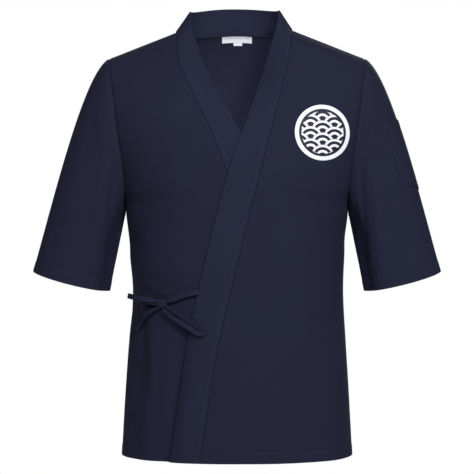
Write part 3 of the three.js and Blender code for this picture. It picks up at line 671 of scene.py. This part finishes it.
# from around, along to around, along, width and depth
SLEEVE_FOLDS = [
    (0.3, 0.16, 0.42, 0.66, 0.04, 5), (0.7, 0.16, 0.6, 0.7, 0.045, 5), (0.2, 0.3, 0.27, 0.95, 0.05, 3),
    (0.83, 0.3, 0.78, 0.95, 0.05, 3),
]
SLEEVE_CREASES = [
    (0.36, 0.1, 0.4, 0.4, 0.018, 1.6), (0.42, 0.2, 0.43, 0.97, 0.04, 5), (0.42, 0.12, 0.46, 0.5, 0.02, -1.2),
    (0.25, 0.2, 0.32, 0.5, 0.02, 1.2), (0.3, 0.55, 0.35, 0.9, 0.02, -1.2), (0.14, 0.25, 0.2, 0.6, 0.022, 1.0),
    (0.64, 0.1, 0.6, 0.44, 0.02, 1.6), (0.58, 0.12, 0.55, 0.5, 0.02, -1.2), (0.74, 0.2, 0.68, 0.5, 0.02, 1.2),
    (0.7, 0.55, 0.65, 0.9, 0.02, -1.2), (0.86, 0.25, 0.8, 0.6, 0.022, 1.0), (0.08, 0.5, 0.1, 0.9, 0.02, -0.8),
    (0.94, 0.45, 0.9, 0.85, 0.02, 0.9),
]


def sleeve_shape(around, along):
    """A cubic from the armhole to the cuff, whose ends leave and arrive in directions mixed by the cosine
    of the turn, with some fullness in front and behind."""
    turn = around - np.floor(around)
    angle = turn * 2 * np.pi
    front = turn <= 0.5
    start = body_shape(np.where(front, -1, 1), np.ones_like(turn), np.where(front, 1 - turn, turn))
    start = start + [GAP, 0, 0]
    slope = np.radians(CUFF["slope"])
    out = CUFF["wide"] * np.cos(angle)
    fall = CUFF["front_drop"] * np.sin(angle)
    x = CUFF["x"] + out * np.cos(slope)
    y = CUFF["y"] - CUFF["deep"] * np.sin(angle)
    end = np.stack([x, y, CUFF["z"] + out * np.sin(slope) - fall], -1)
    top = ((1 + np.cos(angle)) / 2)[..., None]
    leave = np.array(SLEEVE_UNDER["leave"]) * (1 - top) + np.array(SLEEVE_TOP["leave"]) * top
    reach = np.array(SLEEVE_UNDER["reach"]) * (1 - top) + np.array(SLEEVE_TOP["reach"]) * top
    leave[..., 1] -= SLEEVE_FULLNESS * np.sin(angle)
    s = along[..., None]
    shape = start * (1 + 2 * s) * (1 - s) ** 2 + leave * s * (1 - s) ** 2
    return shape + end * s * s * (3 - 2 * s) - reach * s * s * (1 - s)


def sleeve_surface(around, along):
    """The sleeve's points with its folds, and the directions out of the cloth."""
    around, along = np.broadcast_arrays(around, along)
    wide = sleeve_shape(around + STEP, along) - sleeve_shape(around - STEP, along)
    far, near = np.minimum(along + STEP, 1), np.maximum(along - STEP, 0)
    normal = unit(np.cross(wide, sleeve_shape(around, far) - sleeve_shape(around, near)))
    depth = troughs(SLEEVE_FOLDS, around, along) * smooth(along, 0.02, 0.25)
    depth = depth + troughs(SLEEVE_CREASES, around, along) * smooth(along, 0, 0.15)
    return sleeve_shape(around, along) - normal * depth[..., None], normal


sleeve_along = places(SLEEVE_LENGTH, SEAM_MARKS, HEM_MARKS, 5)
sleeve_around = np.linspace(0, 1, 113)[:-1]
for side, name in [(1, "left"), (-1, "right")]:
    around, along = np.meshgrid(sleeve_around, sleeve_along)
    points, normals = sleeve_surface(around, along)
    points, normals = points * [side, 1, 1], normals * [side, 1, 1]
    armhole, hem, first, _ = edges(points)
    lift = seam_dip(armhole) + hem_step(hem)
    lift = lift + hem_pucker(around * CUFF_ROUND, 4.0 + side, hem)
    surface = points + normals * lift[..., None]
    stitch(surface, normals, armhole, SEAM_ROW)
    stitch(surface, normals, hem, HEM)
    half = rounded(np.minimum(armhole, hem), CLOTH / 2)
    middle = points + normals * (lift - CLOTH / 2)[..., None]
    girth = np.linalg.norm(points[:, 0] - points[:, -1], axis=-1)
    round_way = np.concatenate([first, (first[:, -1] + girth)[:, None]], 1)
    uv = np.stack([round_way, np.concatenate([armhole, armhole[:, :1]], 1)], -1) * 0.001
    sleeve = wall("sleeve_tube_" + name, middle, normals, half, uv, closed=True)
    finish_piece(sleeve, navy_twill, "sleeve_" + name)

# Seam allowances: the turned-in edges of every seam lie inside it, as a strip under both pieces, and so do
# the ends of the band's stretches where they meet. far is a place's distance over the seam in mm, above 0 on
# one piece and below 0 on the other. The lengths turn it into a level, a share or a turn of the surfaces, and
# NO_DIP is so far off that seam_dip gives nothing.
ALLOWANCE_CLOTH = 0.5
CLOSE = 0.05
NO_DIP = 20.0
BAND_JOIN_UNDER = 0.75
BACK_NECK_LENGTH = 960
FRONT_NECK_LENGTH = 600
CORNER_RADIUS = 60
COLLAR_HEIGHT = 50
ALLOWANCE_END = 0.004
ROUND_TOP = [4, 2.6, 1.3, 0.5, 0, -0.7, -1.8, -3.2, -5]
ACROSS_JOIN = [-5, -2.5, -1, -0.3, 0.3, 1, 2.5, 5]
across_seam = np.array([-9.0, -5, -2, -0.7, 0, 0.7, 2, 5, 9])


def strip_grid(far, along):
    """Places across and along a strip, across first."""
    return np.meshgrid(far, along, indexing="ij")


def allowance(name, points, normals, far, under=CLOTH + CLOSE):
    """A strip this far under the outer side, that follows the dip of the seam by each place's distance."""
    strip = panel(name, points, normals, seam_dip(np.abs(far)) - under, ALLOWANCE_CLOTH)
    strip.data.materials.append(navy_twill)
    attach(strip, "root")


for side, name in [(1, "left"), (-1, "right")]:
    far, level = strip_grid(across_seam, np.linspace(ALLOWANCE_END, ARMPIT_LEVEL - ALLOWANCE_END, 90))
    points, normals = body_surface(-1, side * (1 - far / (body_row(level)[0] * LEVEL_LENGTH)), level)
    allowance("side_seam_" + name, points, normals, far)
    edge = neck_end if side > 0 else neck_start
    far, share = strip_grid(across_seam, np.linspace(edge, side, 40)[1:-1])
    points, normals = body_surface(-1, share, 1 - far / SHOULDER_LENGTH)
    allowance("shoulder_seam_" + name, points, normals, far)
    far, around = strip_grid(across_seam, np.linspace(0, 1, 113))
    face, level = np.where(around <= 0.5, -1, 1), np.where(around <= 0.5, 1 - around, around)
    inward = 1 - np.maximum(far, 0) / (body_row(level)[0] * LEVEL_LENGTH)
    on_body, body_out = body_surface(face, inward, np.minimum(level, 1 - SHOULDER_GAP))
    on_sleeve, sleeve_out = sleeve_surface(around, np.maximum(-far, 0) / SLEEVE_LENGTH)
    points = np.where(far[..., None] >= 0, on_body, on_sleeve) * [side, 1, 1]
    normals = np.where(far[..., None] > 0, body_out, sleeve_out) * [side, 1, 1]
    allowance("armhole_seam_" + name, points, normals, far)
    far, level = strip_grid(across_seam, np.linspace(ALLOWANCE_END, 1 - SHOULDER_GAP, 120))
    seam = across_at(-1, level, lambda z: seam_x(side)(z) + side * np.maximum(far, 0))
    on_front, normals = body_surface(-1, seam, level)
    on_front = on_front + normals * wrap_lift(side, body_shape(-1, seam, level), level)[..., None]
    on_band = band_surface(side, np.maximum(-far, 0) / band_stand[side](level)[0], level)
    points = np.where(far[..., None] >= 0, on_front, on_band)
    under = np.where(far >= 0, CLOTH, BAND_CLOTH) + CLOSE
    allowance("band_seam_" + name, points, normals, far, under)
far, turn = strip_grid(ROUND_TOP, -np.cos(np.linspace(0.03, np.pi - 0.03, 100)))
share = neck_start + (turn + 1) / 2 * (neck_end - neck_start)
level = np.minimum(back_top(share), 1 - SHOULDER_GAP) - np.maximum(far, 0) / BACK_NECK_LENGTH
on_back, _ = body_surface(1, share, level)
points = np.where(far[..., None] >= 0, on_back, collar_surface(turn, np.maximum(-far, 0) / COLLAR_HEIGHT))
inside = np.where(far >= 0, CLOTH + 0.6 + 0.9 * bump(far, 0, 1.3), 0.55 + 2.05 * bump(far, 0, 1.5))
points = points + grid_normals(points, 1) * inside[..., None]
normals = grid_normals(points, 1)
no_dip = np.full(far.shape, NO_DIP)
allowance("neck_seam", points, normals, no_dip, 0)
for side, name in [(1, "left"), (-1, "right")]:
    far, share = strip_grid(ACROSS_JOIN, np.linspace(0.03, 0.97, 20))
    level = 1 - SHOULDER_GAP - np.maximum(-far, 0) / FRONT_NECK_LENGTH
    on_collar = collar_surface(side * np.cos(np.maximum(far, 0) / CORNER_RADIUS), share)
    points = np.where(far[..., None] < 0, band_surface(side, share, level), on_collar)
    normals = grid_normals(points, -side)
    no_dip = np.full(far.shape, NO_DIP)
    allowance("band_join_" + name, points, normals, no_dip, BAND_JOIN_UNDER)

# Pen pocket: a small patch of the twill on the outer front of the wearer's left sleeve, turned in all
# round, with a stitched hem along its open top.
POCKET_LIFT = 0.5
POCKET_CLOTH = 1.4
POCKET_HEM = 11
POCKET_ROW = 1.8
POCKET_SIZE = (62, 100)
# around and along of its corners: top front, top back, bottom front, bottom back
POCKET_CORNERS = [(0.137, 0.335), (0.018, 0.405), (0.158, 0.59), (0.018, 0.665)]


def between_corners(corners, share, height):
    """A place in a four-cornered patch: straight along its top and its bottom, then straight between."""
    top_front, top_back, low_front, low_back = (np.array(c) for c in corners)
    share, height = share[..., None], height[..., None]
    top = top_front * (1 - share) + top_back * share
    return (low_front * (1 - share) + low_back * share) * (1 - height) + top * height


patch_marks = [0, 0.15, 0.35, 0.7, 1.2, 1.8, 2.4, 3.2, 5]
columns = places(POCKET_SIZE[0], patch_marks, patch_marks, 3)
share, height = np.meshgrid(columns, places(POCKET_SIZE[1], patch_marks, patch_marks, 2.5))
place = between_corners(POCKET_CORNERS, share, height)
points, normals = sleeve_surface(place[..., 0], place[..., 1])
low, top, first, last = edges(points)
sewn = np.minimum(low, np.minimum(first, last))
lift = POCKET_LIFT + POCKET_CLOTH - 0.4 * bump(sewn, 0, 1.2) - 0.3 * bump(sewn, POCKET_ROW, 0.7)
lift = lift + 0.25 * (1 - smooth(top, POCKET_HEM - 1, POCKET_HEM)) - 0.3 * bump(top, POCKET_HEM, 0.9)
lift = lift + 0.5 * bump(top, 0, 6) * bump(first / (first + last), 0.5, 0.3)
surface = points + normals * lift[..., None]
stitch(surface, normals, top, POCKET_HEM)
stitch(surface, normals, low, POCKET_ROW)
stitch_up(surface, normals, first, POCKET_ROW)
stitch_up(surface, normals, last, POCKET_ROW)
pocket = panel("pen_pocket_patch", points, normals, lift, POCKET_CLOTH)
finish_piece(pocket, navy_twill, "pen_pocket")

# Labels: two bits of white woven tape sewn one under the other inside the back of the neck, both bare. Their
# lift is counted from the back's outer side, and their yarns are in metres.
LABEL_CLOTH = 0.5
LABEL_LIFT = 1.75
TAPE_YARN = 0.0006
label_tape, tree, tape = new_material("white woven tape")
uv = node(tree, "UVMap", uv_map="cloth").outputs[0]
threads = [(0, uv), ("Scale", WAVE_SCALE / TAPE_YARN), ("Distortion", 0.4)]
yarns = node(tree, "TexWave", threads, bands_direction="Y").outputs[1]
feed(tree, tape, [
    ("Base Color", between_colours(tree, yarns, "#ebeaf0", "#f8f7fb")), ("Roughness", 0.55),
    ("Normal", bumps(tree, yarns, 0.4, 0.0001)), ("Sheen Weight", 0.1),
])


def label_grid(x, wide, drop, high):
    """Places on the inside of the back, a drop in mm below the middle of the neck edge, and the panel's
    share and level there, from the length of a level at the top."""
    top = back_top(0.0)
    level_step, share_step = 0.02, 0.05
    ends = body_shape(1, 0.0, np.array([top - level_step, top]))
    level_length = np.linalg.norm(ends[1] - ends[0]) / level_step
    sides = body_shape(1, np.array([0.0, share_step]), top)
    share_length = (sides[1, 0] - sides[0, 0]) / share_step
    marks = [0, 0.1, 0.3, 0.6, 1.2]
    columns = x + wide * (places(wide, marks, marks, 2) - 0.5)
    rows = drop + high * (1 - places(high, marks, marks, 1.5))
    across, down = np.meshgrid(columns / share_length, rows / level_length)
    return body_surface(1, across, top - down)


# name, x, width, drop below the neck edge and height: the label's top goes over the strip of the neck seam
for name, x, wide, drop, high in [("neck_label", 0, 55, -0.8, 16), ("size_tab", 1.5, 14, 15.5, 6)]:
    points, normals = label_grid(x, wide, drop, high)
    low, top, first, last = edges(points)
    sewn = np.minimum(np.minimum(low, top), np.minimum(first, last))
    lift = LABEL_LIFT + LABEL_CLOTH + bump(top + drop, -1, 3)
    lift = lift + 0.15 * bump(sewn, 3, 3) - 0.2 * bump(sewn, 1, 0.5)
    label = panel(name + "_tape", points, -normals, lift, LABEL_CLOTH)
    finish_piece(label, label_tape, name)

# Ties: two narrow strips of the twill, folded in four and stitched, one sewn to the top front's free edge
# and one into the side seam, tied together in a bow. Each stretch that shows is one piece, and the two that
# start at the jacket are sewn down there with four short rows of stitches.
TIE_WIDTH = 9
TIE_CLOTH = 1.6
KNOT_GATHER = 0.5
GATHER_LENGTH = 0.3
KNOT = (-122.5, -451, 5.4)
TIE_ROWS = 90
TIE_MARKS = [0, 0.15, 0.4, 0.8, 1.3, 2]
SEWN_ROWS = (1.5, 3, 6, 7.5)
SEWN_PITCH = 2.4
# name: tilt of the strip in degrees, ends gathered in the knot, and x, z and height off the cloth
TIES = {
    "tie_outer": (0, [1], [
        (-61, -431, 5.8), (-69, -432.5, 6.4), (-81, -435.5, 7.0), (-96, -440.5, 6.6), (-106, -445, 6.2),
        (-115.6, -448.8, 5.8)]),
    "tie_side": (0, [1], [(-172, -448, 1.3), (-160, -448, 1.6), (-147, -449.5, 2.2), (-129.4, -451.9, 4.1)]),
    "tie_loop_left": (50, [0, 1], [
        (-129.8, -453.5, 8.2), (-138, -450.5, 10), (-148, -450, 11), (-154, -454, 12), (-153.5, -464, 11.5),
        (-147, -469, 10.5), (-138, -464.5, 9.3), (-128, -458, 7.6)]),
    "tie_loop_right": (18, [0, 1], [
        (-116.4, -455.5, 6.4), (-102.5, -462.3, 7.5), (-86, -472.8, 8.5), (-65, -485.3, 9), (-56, -490.6, 9),
        (-53, -495, 9), (-56, -499, 9), (-61.5, -498.3, 9), (-70, -493.2, 9), (-90.9, -481, 8.5),
        (-107.4, -470.5, 7.5), (-120, -459.9, 6.4)]),
    "tie_tail_upper": (10, [0], [
        (-128.5, -447.1, 8), (-142, -445, 14.5), (-156, -443, 18), (-170.5, -440, 20)]),
    "tie_tail_lower": (0, [0], [
        (-126.5, -459.5, 3.8), (-138, -462, 3.6), (-150, -468, 3.6), (-161, -477.5, 4.2), (-167, -488, 5.5),
        (-170, -498, 7.5)]),
}


def place_at(face, x, z):
    """The across and level of the place on a face seen at x and z, found by halving both ranges."""
    low, high = np.zeros(np.shape(x)), np.ones(np.shape(x))
    for _ in range(30):
        middle = (low + high) / 2
        across = across_at(face, middle, lambda _: x)
        under = body_shape(face, across, middle)[..., 2] < z
        low, high = np.where(under, middle, low), np.where(under, high, middle)
    return across_at(face, low, lambda _: x), low


def curve_through(spots, shares):
    """A curve through points: between two of them a cubic, whose slopes there weigh the steps to the
    neighbours by the square roots of their lengths. shares run from 0 to 1 over the points."""
    spots = np.array(spots)
    spots = np.vstack([2 * spots[0] - spots[1], spots, 2 * spots[-1] - spots[-2]])
    where = shares * (len(spots) - 3)
    i = np.minimum(where.astype(int), len(spots) - 4)
    w = (where - i)[:, None]
    a, b, c, d = spots[i], spots[i + 1], spots[i + 2], spots[i + 3]
    ab, bc, cd = (np.sqrt(np.linalg.norm(q - p, axis=1, keepdims=True)) for p, q in ((a, b), (b, c), (c, d)))
    leave = ((b - a) / ab - (c - a) / (ab + bc) + (c - b) / bc) * bc
    reach = ((c - b) / bc - (d - b) / (bc + cd) + (d - c) / cd) * bc
    return b + leave * w + (3 * (c - b) - 2 * leave - reach) * w**2 + (2 * (b - c) + leave + reach) * w**3


def tie_surface(spots, tilt, gathered):
    """A strip along its curve: its width lies on the cloth, turned by its tilt, and is drawn together
    towards the ends in the knot. Gives its points, their directions out and the distance along."""
    x, z, off = np.array(spots, float).T
    across, level = place_at(-1, x, z)
    on_cloth, normals = body_surface(-1, across, level)
    t = np.linspace(0, 1, TIE_ROWS)
    line = curve_through(on_cloth + normals * off[:, None], t)
    normals = unit(curve_through(normals, t))
    tangent = unit(np.gradient(line, axis=0))
    flat = unit(np.cross(normals, tangent))
    turn = np.radians(tilt)
    broad = flat * np.cos(turn) + np.cross(tangent, flat) * np.sin(turn)
    out = unit(np.cross(tangent, broad))
    nearest = np.min([np.abs(end - t) for end in gathered], 0)
    width = TIE_WIDTH * (KNOT_GATHER + (1 - KNOT_GATHER) * smooth(nearest, 0, GATHER_LENGTH))
    length = run(line[:, None], 0)[:, 0]
    return line, broad, out, width, length


for name, (tilt, gathered, spots) in TIES.items():
    line, broad, out, width, length = tie_surface(spots, tilt, gathered)
    sides = places(TIE_WIDTH, TIE_MARKS, TIE_MARKS, 0.7) * 2 - 1
    edge = (1 - np.abs(sides)) * TIE_WIDTH / 2
    half = rounded(edge, TIE_CLOTH / 2)[None, :] + 0.15 * bump(edge, 2.4, 1.2) - 0.2 * bump(edge, 1.3, 0.35)
    gathers = (1 - width / TIE_WIDTH)[:, None] * 0.5 * np.cos(sides * 3 * np.pi)[None, :]
    waves = 0.22 * pucker(length, 5.0 + tilt)[:, None] * (0.4 + np.abs(sides))[None, :]
    middle = line[:, None] + broad[:, None] * (sides[None, :] * width[:, None] / 2)[..., None]
    middle = middle + out[:, None] * (gathers + waves)[..., None]
    end = np.minimum(length, length[-1] - length)
    half = np.minimum(half, rounded(end, TIE_CLOTH / 2)[:, None])
    out = np.broadcast_to(out[:, None], middle.shape)
    uv = np.stack(np.broadcast_arrays(sides[None, :] * TIE_WIDTH / 2, length[:, None]), -1) * 0.001
    if gathered == [1]:
        away = np.broadcast_to(length[:, None], half.shape)
        for at in SEWN_ROWS:
            stitch(middle + out * half[..., None], out, away, at, SEWN_PITCH)
    tie = wall(name + "_strip", middle, out, half, uv)
    finish_piece(tie, pressed_twill, name)

# Knot of the bow: one strip's turn wrapped tightly round the other, a rounded and hollow lump with soft
# pleats. Its lengths round and over are in metres, for the weave.
KNOT_HALF = (9, 7.8, 4.2)
KNOT_ROUNDNESS = 0.8
KNOT_LENGTHS = (0.045, 0.02)
PLEAT_DEPTH = 0.13
across, level = place_at(-1, np.array(float(KNOT[0])), np.array(float(KNOT[1])))
spot, normal = body_surface(-1, across, level)
right = unit(np.cross([0, 0, 1], normal))
upright = np.cross(normal, right)
columns, rows = np.linspace(0, 1, 73), np.linspace(0, 1, 42)
around, height = np.meshgrid(columns[:-1], rows)
angle, rise = around * 2 * np.pi, height * np.pi
boxy = [np.sign(v) * np.abs(v) ** KNOT_ROUNDNESS for v in (np.cos(angle), -np.cos(rise), np.sin(angle))]
wide = np.sin(rise) ** KNOT_ROUNDNESS
parts = [boxy[0] * wide, boxy[1], boxy[2] * wide]
pleats = 1 + PLEAT_DEPTH * np.sin(parts[0] * 9 + parts[1] * 1.2 + 0.6) * np.sin(rise)
axes = [right * KNOT_HALF[0], upright * KNOT_HALF[1], -normal * KNOT_HALF[2]]
centre = spot + normal * KNOT[2]
points = centre + sum(p[..., None] * a for p, a in zip(parts, axes)) * pleats[..., None]
uv = np.stack(np.meshgrid(columns * KNOT_LENGTHS[0], rows * KNOT_LENGTHS[1]), -1)
knot = shell("tie_knot_wrap", points, points * 0.2 + centre * 0.8, uv, closed=True)
finish_piece(knot, pressed_twill, "tie_knot")

# Chest roundel: a disc embroidered on the wearer's left chest, white on navy: a plain ring round a field
# of the traditional wave pattern of overlapping circles.
ROUNDEL = (140, -171)
ROUNDEL_RADIUS = 46
WAVE_RADIUS = 20
EMBROIDERY_YARN = 0.0008
embroidery, tree, thread = new_material("white and navy embroidery")


def maths(operation, *values):
    """One Math node's result."""
    return node(tree, "Math", list(enumerate(values)), operation=operation).outputs[0]


uv = node(tree, "UVMap", uv_map="cloth").outputs[0]
parted = node(tree, "SeparateXYZ", [(0, uv)]).outputs
across, up = (maths("MULTIPLY", part, 1000 / WAVE_RADIUS) for part in parted[:2])
radius = maths("MULTIPLY", maths("SQRT", maths("ADD", maths("POWER", across, 2), maths("POWER", up, 2))),
               WAVE_RADIUS / ROUNDEL_RADIUS)
reach = []
for row_below in (-1, 0, 1):
    row = maths("ADD", maths("FLOOR", maths("MULTIPLY", up, 2)), row_below)
    shifted = maths("SUBTRACT", across, maths("FLOORED_MODULO", row, 2))
    beside = maths("WRAP", shifted, 1, -1)
    above = maths("SUBTRACT", up, maths("MULTIPLY", row, 0.5))
    squares = maths("ADD", maths("MULTIPLY", beside, beside), maths("MULTIPLY", above, above))
    reach.append(maths("SQRT", squares))
upper = node(tree, "Mix", [(0, maths("LESS_THAN", reach[1], 1)), (2, reach[2]), (3, reach[1])]).outputs[0]
nearest = node(tree, "Mix", [(0, maths("LESS_THAN", reach[0], 1)), (2, upper), (3, reach[0])]).outputs[0]


def steps_ramp(value, stops):
    """Black or white by steps: each stop is where the next shade starts."""
    ramp = node(tree, "ValToRGB", [(0, value)])
    ramp.color_ramp.interpolation = "CONSTANT"
    while len(ramp.color_ramp.elements) < len(stops):
        ramp.color_ramp.elements.new(0.5)
    for element, (position, shade) in zip(ramp.color_ramp.elements, stops):
        element.position = position
        element.color = (shade, shade, shade, 1)
    return ramp.outputs[0]


waves = steps_ramp(nearest, [(0, 0), (0.36, 1), (0.56, 0), (0.8, 1), (0.98, 0)])
field = steps_ramp(radius, [(0, 1), (0.76, 0)])
ring = steps_ramp(radius, [(0, 0), (0.85, 1)])
white = maths("MAXIMUM", maths("MULTIPLY", waves, field), ring)
yarns = [(0, uv), ("Scale", WAVE_SCALE / EMBROIDERY_YARN), ("Distortion", 1.0)]
height = maths("MULTIPLY_ADD", node(tree, "TexWave", yarns).outputs[1], 0.3, white)
feed(tree, thread, [
    ("Base Color", between_colours(tree, white, "#1d1c2c", "#eeedf2")), ("Roughness", 0.6),
    ("Normal", bumps(tree, height, 0.4, 0.0002)), ("Specular IOR Level", 0.3),
])
u, v = np.meshgrid(np.linspace(-1, 1, 81), np.linspace(-1, 1, 81))
x, z = ROUNDEL_RADIUS * u * np.sqrt(1 - v * v / 2), ROUNDEL_RADIUS * v * np.sqrt(1 - u * u / 2)
across, level = place_at(-1, ROUNDEL[0] + x, ROUNDEL[1] + z)
points, normals = body_surface(-1, across, level)
points = points + normals * wrap_lift(1, points, level)[..., None]
half = rounded(ROUNDEL_RADIUS - np.hypot(x, z), 0.2)
roundel = wall("chest_roundel", points + normals * 0.32, normals, half, np.stack([x, z], -1) * 0.001)
roundel.data.materials.append(embroidery)
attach(roundel, "root")

# Topstitching: navy thread drawn a little lighter than the cloth, partly its own shade and partly a painted
# sheen of the polyester thread, in rows along the hems, seams, band and pocket and over the sewn ends of the
# ties.
# Each stitch is 2.4 mm of thread 0.45 mm thick that goes down into the cloth at both ends.
STITCH_LENGTH = 2.4
THREAD_RADIUS = 0.22
THREAD_SIDES = 6
spots, ahead, out = (np.concatenate(part) for part in zip(*rows_of_stitches))
sideways = unit(np.cross(out, ahead))
angle = np.arange(THREAD_SIDES) * 2 * np.pi / THREAD_SIDES
ring = np.stack([np.zeros(THREAD_SIDES), np.cos(angle), np.sin(angle)], -1)
shape = [[(-STITCH_LENGTH / 2, 0, -0.2)]]
for at, thick, high in [(-0.7, 0.75, 0.02), (0, 1, 0.1), (0.7, 0.75, 0.02)]:
    shape.append(ring * THREAD_RADIUS * thick + [at, 0, high])
shape = np.concatenate([*shape, [(STITCH_LENGTH / 2, 0, -0.2)]])
ways = (ahead, sideways, out)
points = spots[:, None] + sum(shape[None, :, axis, None] * way[:, None] for axis, way in enumerate(ways))
end = len(shape) - 1
faces = []
for i in range(THREAD_SIDES):
    j = (i + 1) % THREAD_SIDES
    faces.append((0, 1 + j, 1 + i))
    for a in (1, 1 + THREAD_SIDES):
        faces.append((a + i, a + j, a + THREAD_SIDES + j, a + THREAD_SIDES + i))
    faces.append((end, end - THREAD_SIDES + i, end - THREAD_SIDES + j))
mesh = bpy.data.meshes.new("topstitching")
mesh.from_pydata((points.reshape(-1, 3) * 0.001).tolist(), [],
                 [tuple(len(shape) * k + v for v in face) for k in range(len(spots)) for face in faces])
mesh.polygons.foreach_set("use_smooth", np.ones(len(mesh.polygons), bool))
topstitching = new_object("topstitching", mesh)
thread_with_painted_sheen, tree, thread = new_material("navy sewing thread")
place = node(tree, "TexCoord").outputs["Object"]
speckle = node(tree, "TexNoise", [(0, place), ("Scale", 2500.0), ("Detail", 1.0)]).outputs[0]
# Both shades are lighter than the cloth: partly the thread's own colour, partly painted sheen that makes
# highlight dashes.
feed(tree, thread, [
    ("Base Color", between_colours(tree, speckle, "#2c2f48", "#3d4060")), ("Roughness", 0.6),
    ("Specular IOR Level", 0.2),
])
topstitching.data.materials.append(thread_with_painted_sheen)
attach(topstitching, "root")

# Stage: a pale floor at the height where a wearer would stand, in white surroundings that light the jacket
# less than they show, with two soft lamps in front, one behind and a small one inside the neck, and a camera
# at chest height.
FLOOR_HALF, FLOOR_HEIGHT = 4.5, -1.45
pale, tree, paint = new_material("pale floor paint")
feed(tree, paint, [("Base Color", linear("#e6e6e8")), ("Roughness", 0.8)])
mesh = bpy.data.meshes.new("floor")
ways = ((-1, -1), (1, -1), (1, 1), (-1, 1))
corners = [(x * FLOOR_HALF, y * FLOOR_HALF, FLOOR_HEIGHT) for x, y in ways]
mesh.from_pydata(corners, [], [(0, 1, 2, 3)])
floor = new_object("floor", mesh)
floor.data.materials.append(pale)

world = bpy.data.worlds.new("white surroundings")
bpy.context.scene.world = world
world.use_nodes = True
tree = world.node_tree
seen = node(tree, "LightPath").outputs["Is Camera Ray"]
shades = [(0, seen), (6, (0.17, 0.16, 0.155, 1)), (7, (1, 1, 1, 1))]
mixed = node(tree, "Mix", shades, data_type="RGBA").outputs[2]
feed(tree, tree.nodes["Background"], [(0, mixed)])

# name, place, what it is aimed at, size and watts: the last one is small and inside the neck
LAMPS = [
    ("key", (0.8, -2.2, 1.0), (0, 0, -0.25), 0.6, 50), ("fill", (-0.35, -2.3, 0.8), (0, 0, -0.25), 1.0, 22),
    ("back", (0.4, 2.6, 0.6), (0, 0, -0.3), 1.5, 60), ("neck", (0, -0.045, -0.27), (0, 0.09, 0), 0.1, 0.4),
]
for name, place, target, size, watts in LAMPS:
    lamp = bpy.data.lights.new(name, "AREA")
    lamp.shape, lamp.size, lamp.energy = "SQUARE", size, watts
    lamp.color = (0.93, 0.96, 1.0)
    light = new_object(name, lamp)
    light.location = place
    light.visible_camera = False
    aim = np.array(target) - np.array(place)
    light.rotation_euler = (np.arccos(-aim[2] / np.linalg.norm(aim)), 0, np.arctan2(-aim[0], aim[1]))

camera = new_object("camera", bpy.data.cameras.new("camera"))
camera.location = (0, -2.7, -0.342)
camera.rotation_euler = (np.pi / 2, 0, 0)
camera.data.sensor_width = 36
camera.data.lens = 120.6
bpy.context.scene.camera = camera
bpy.context.scene.view_settings.view_transform = "Standard"
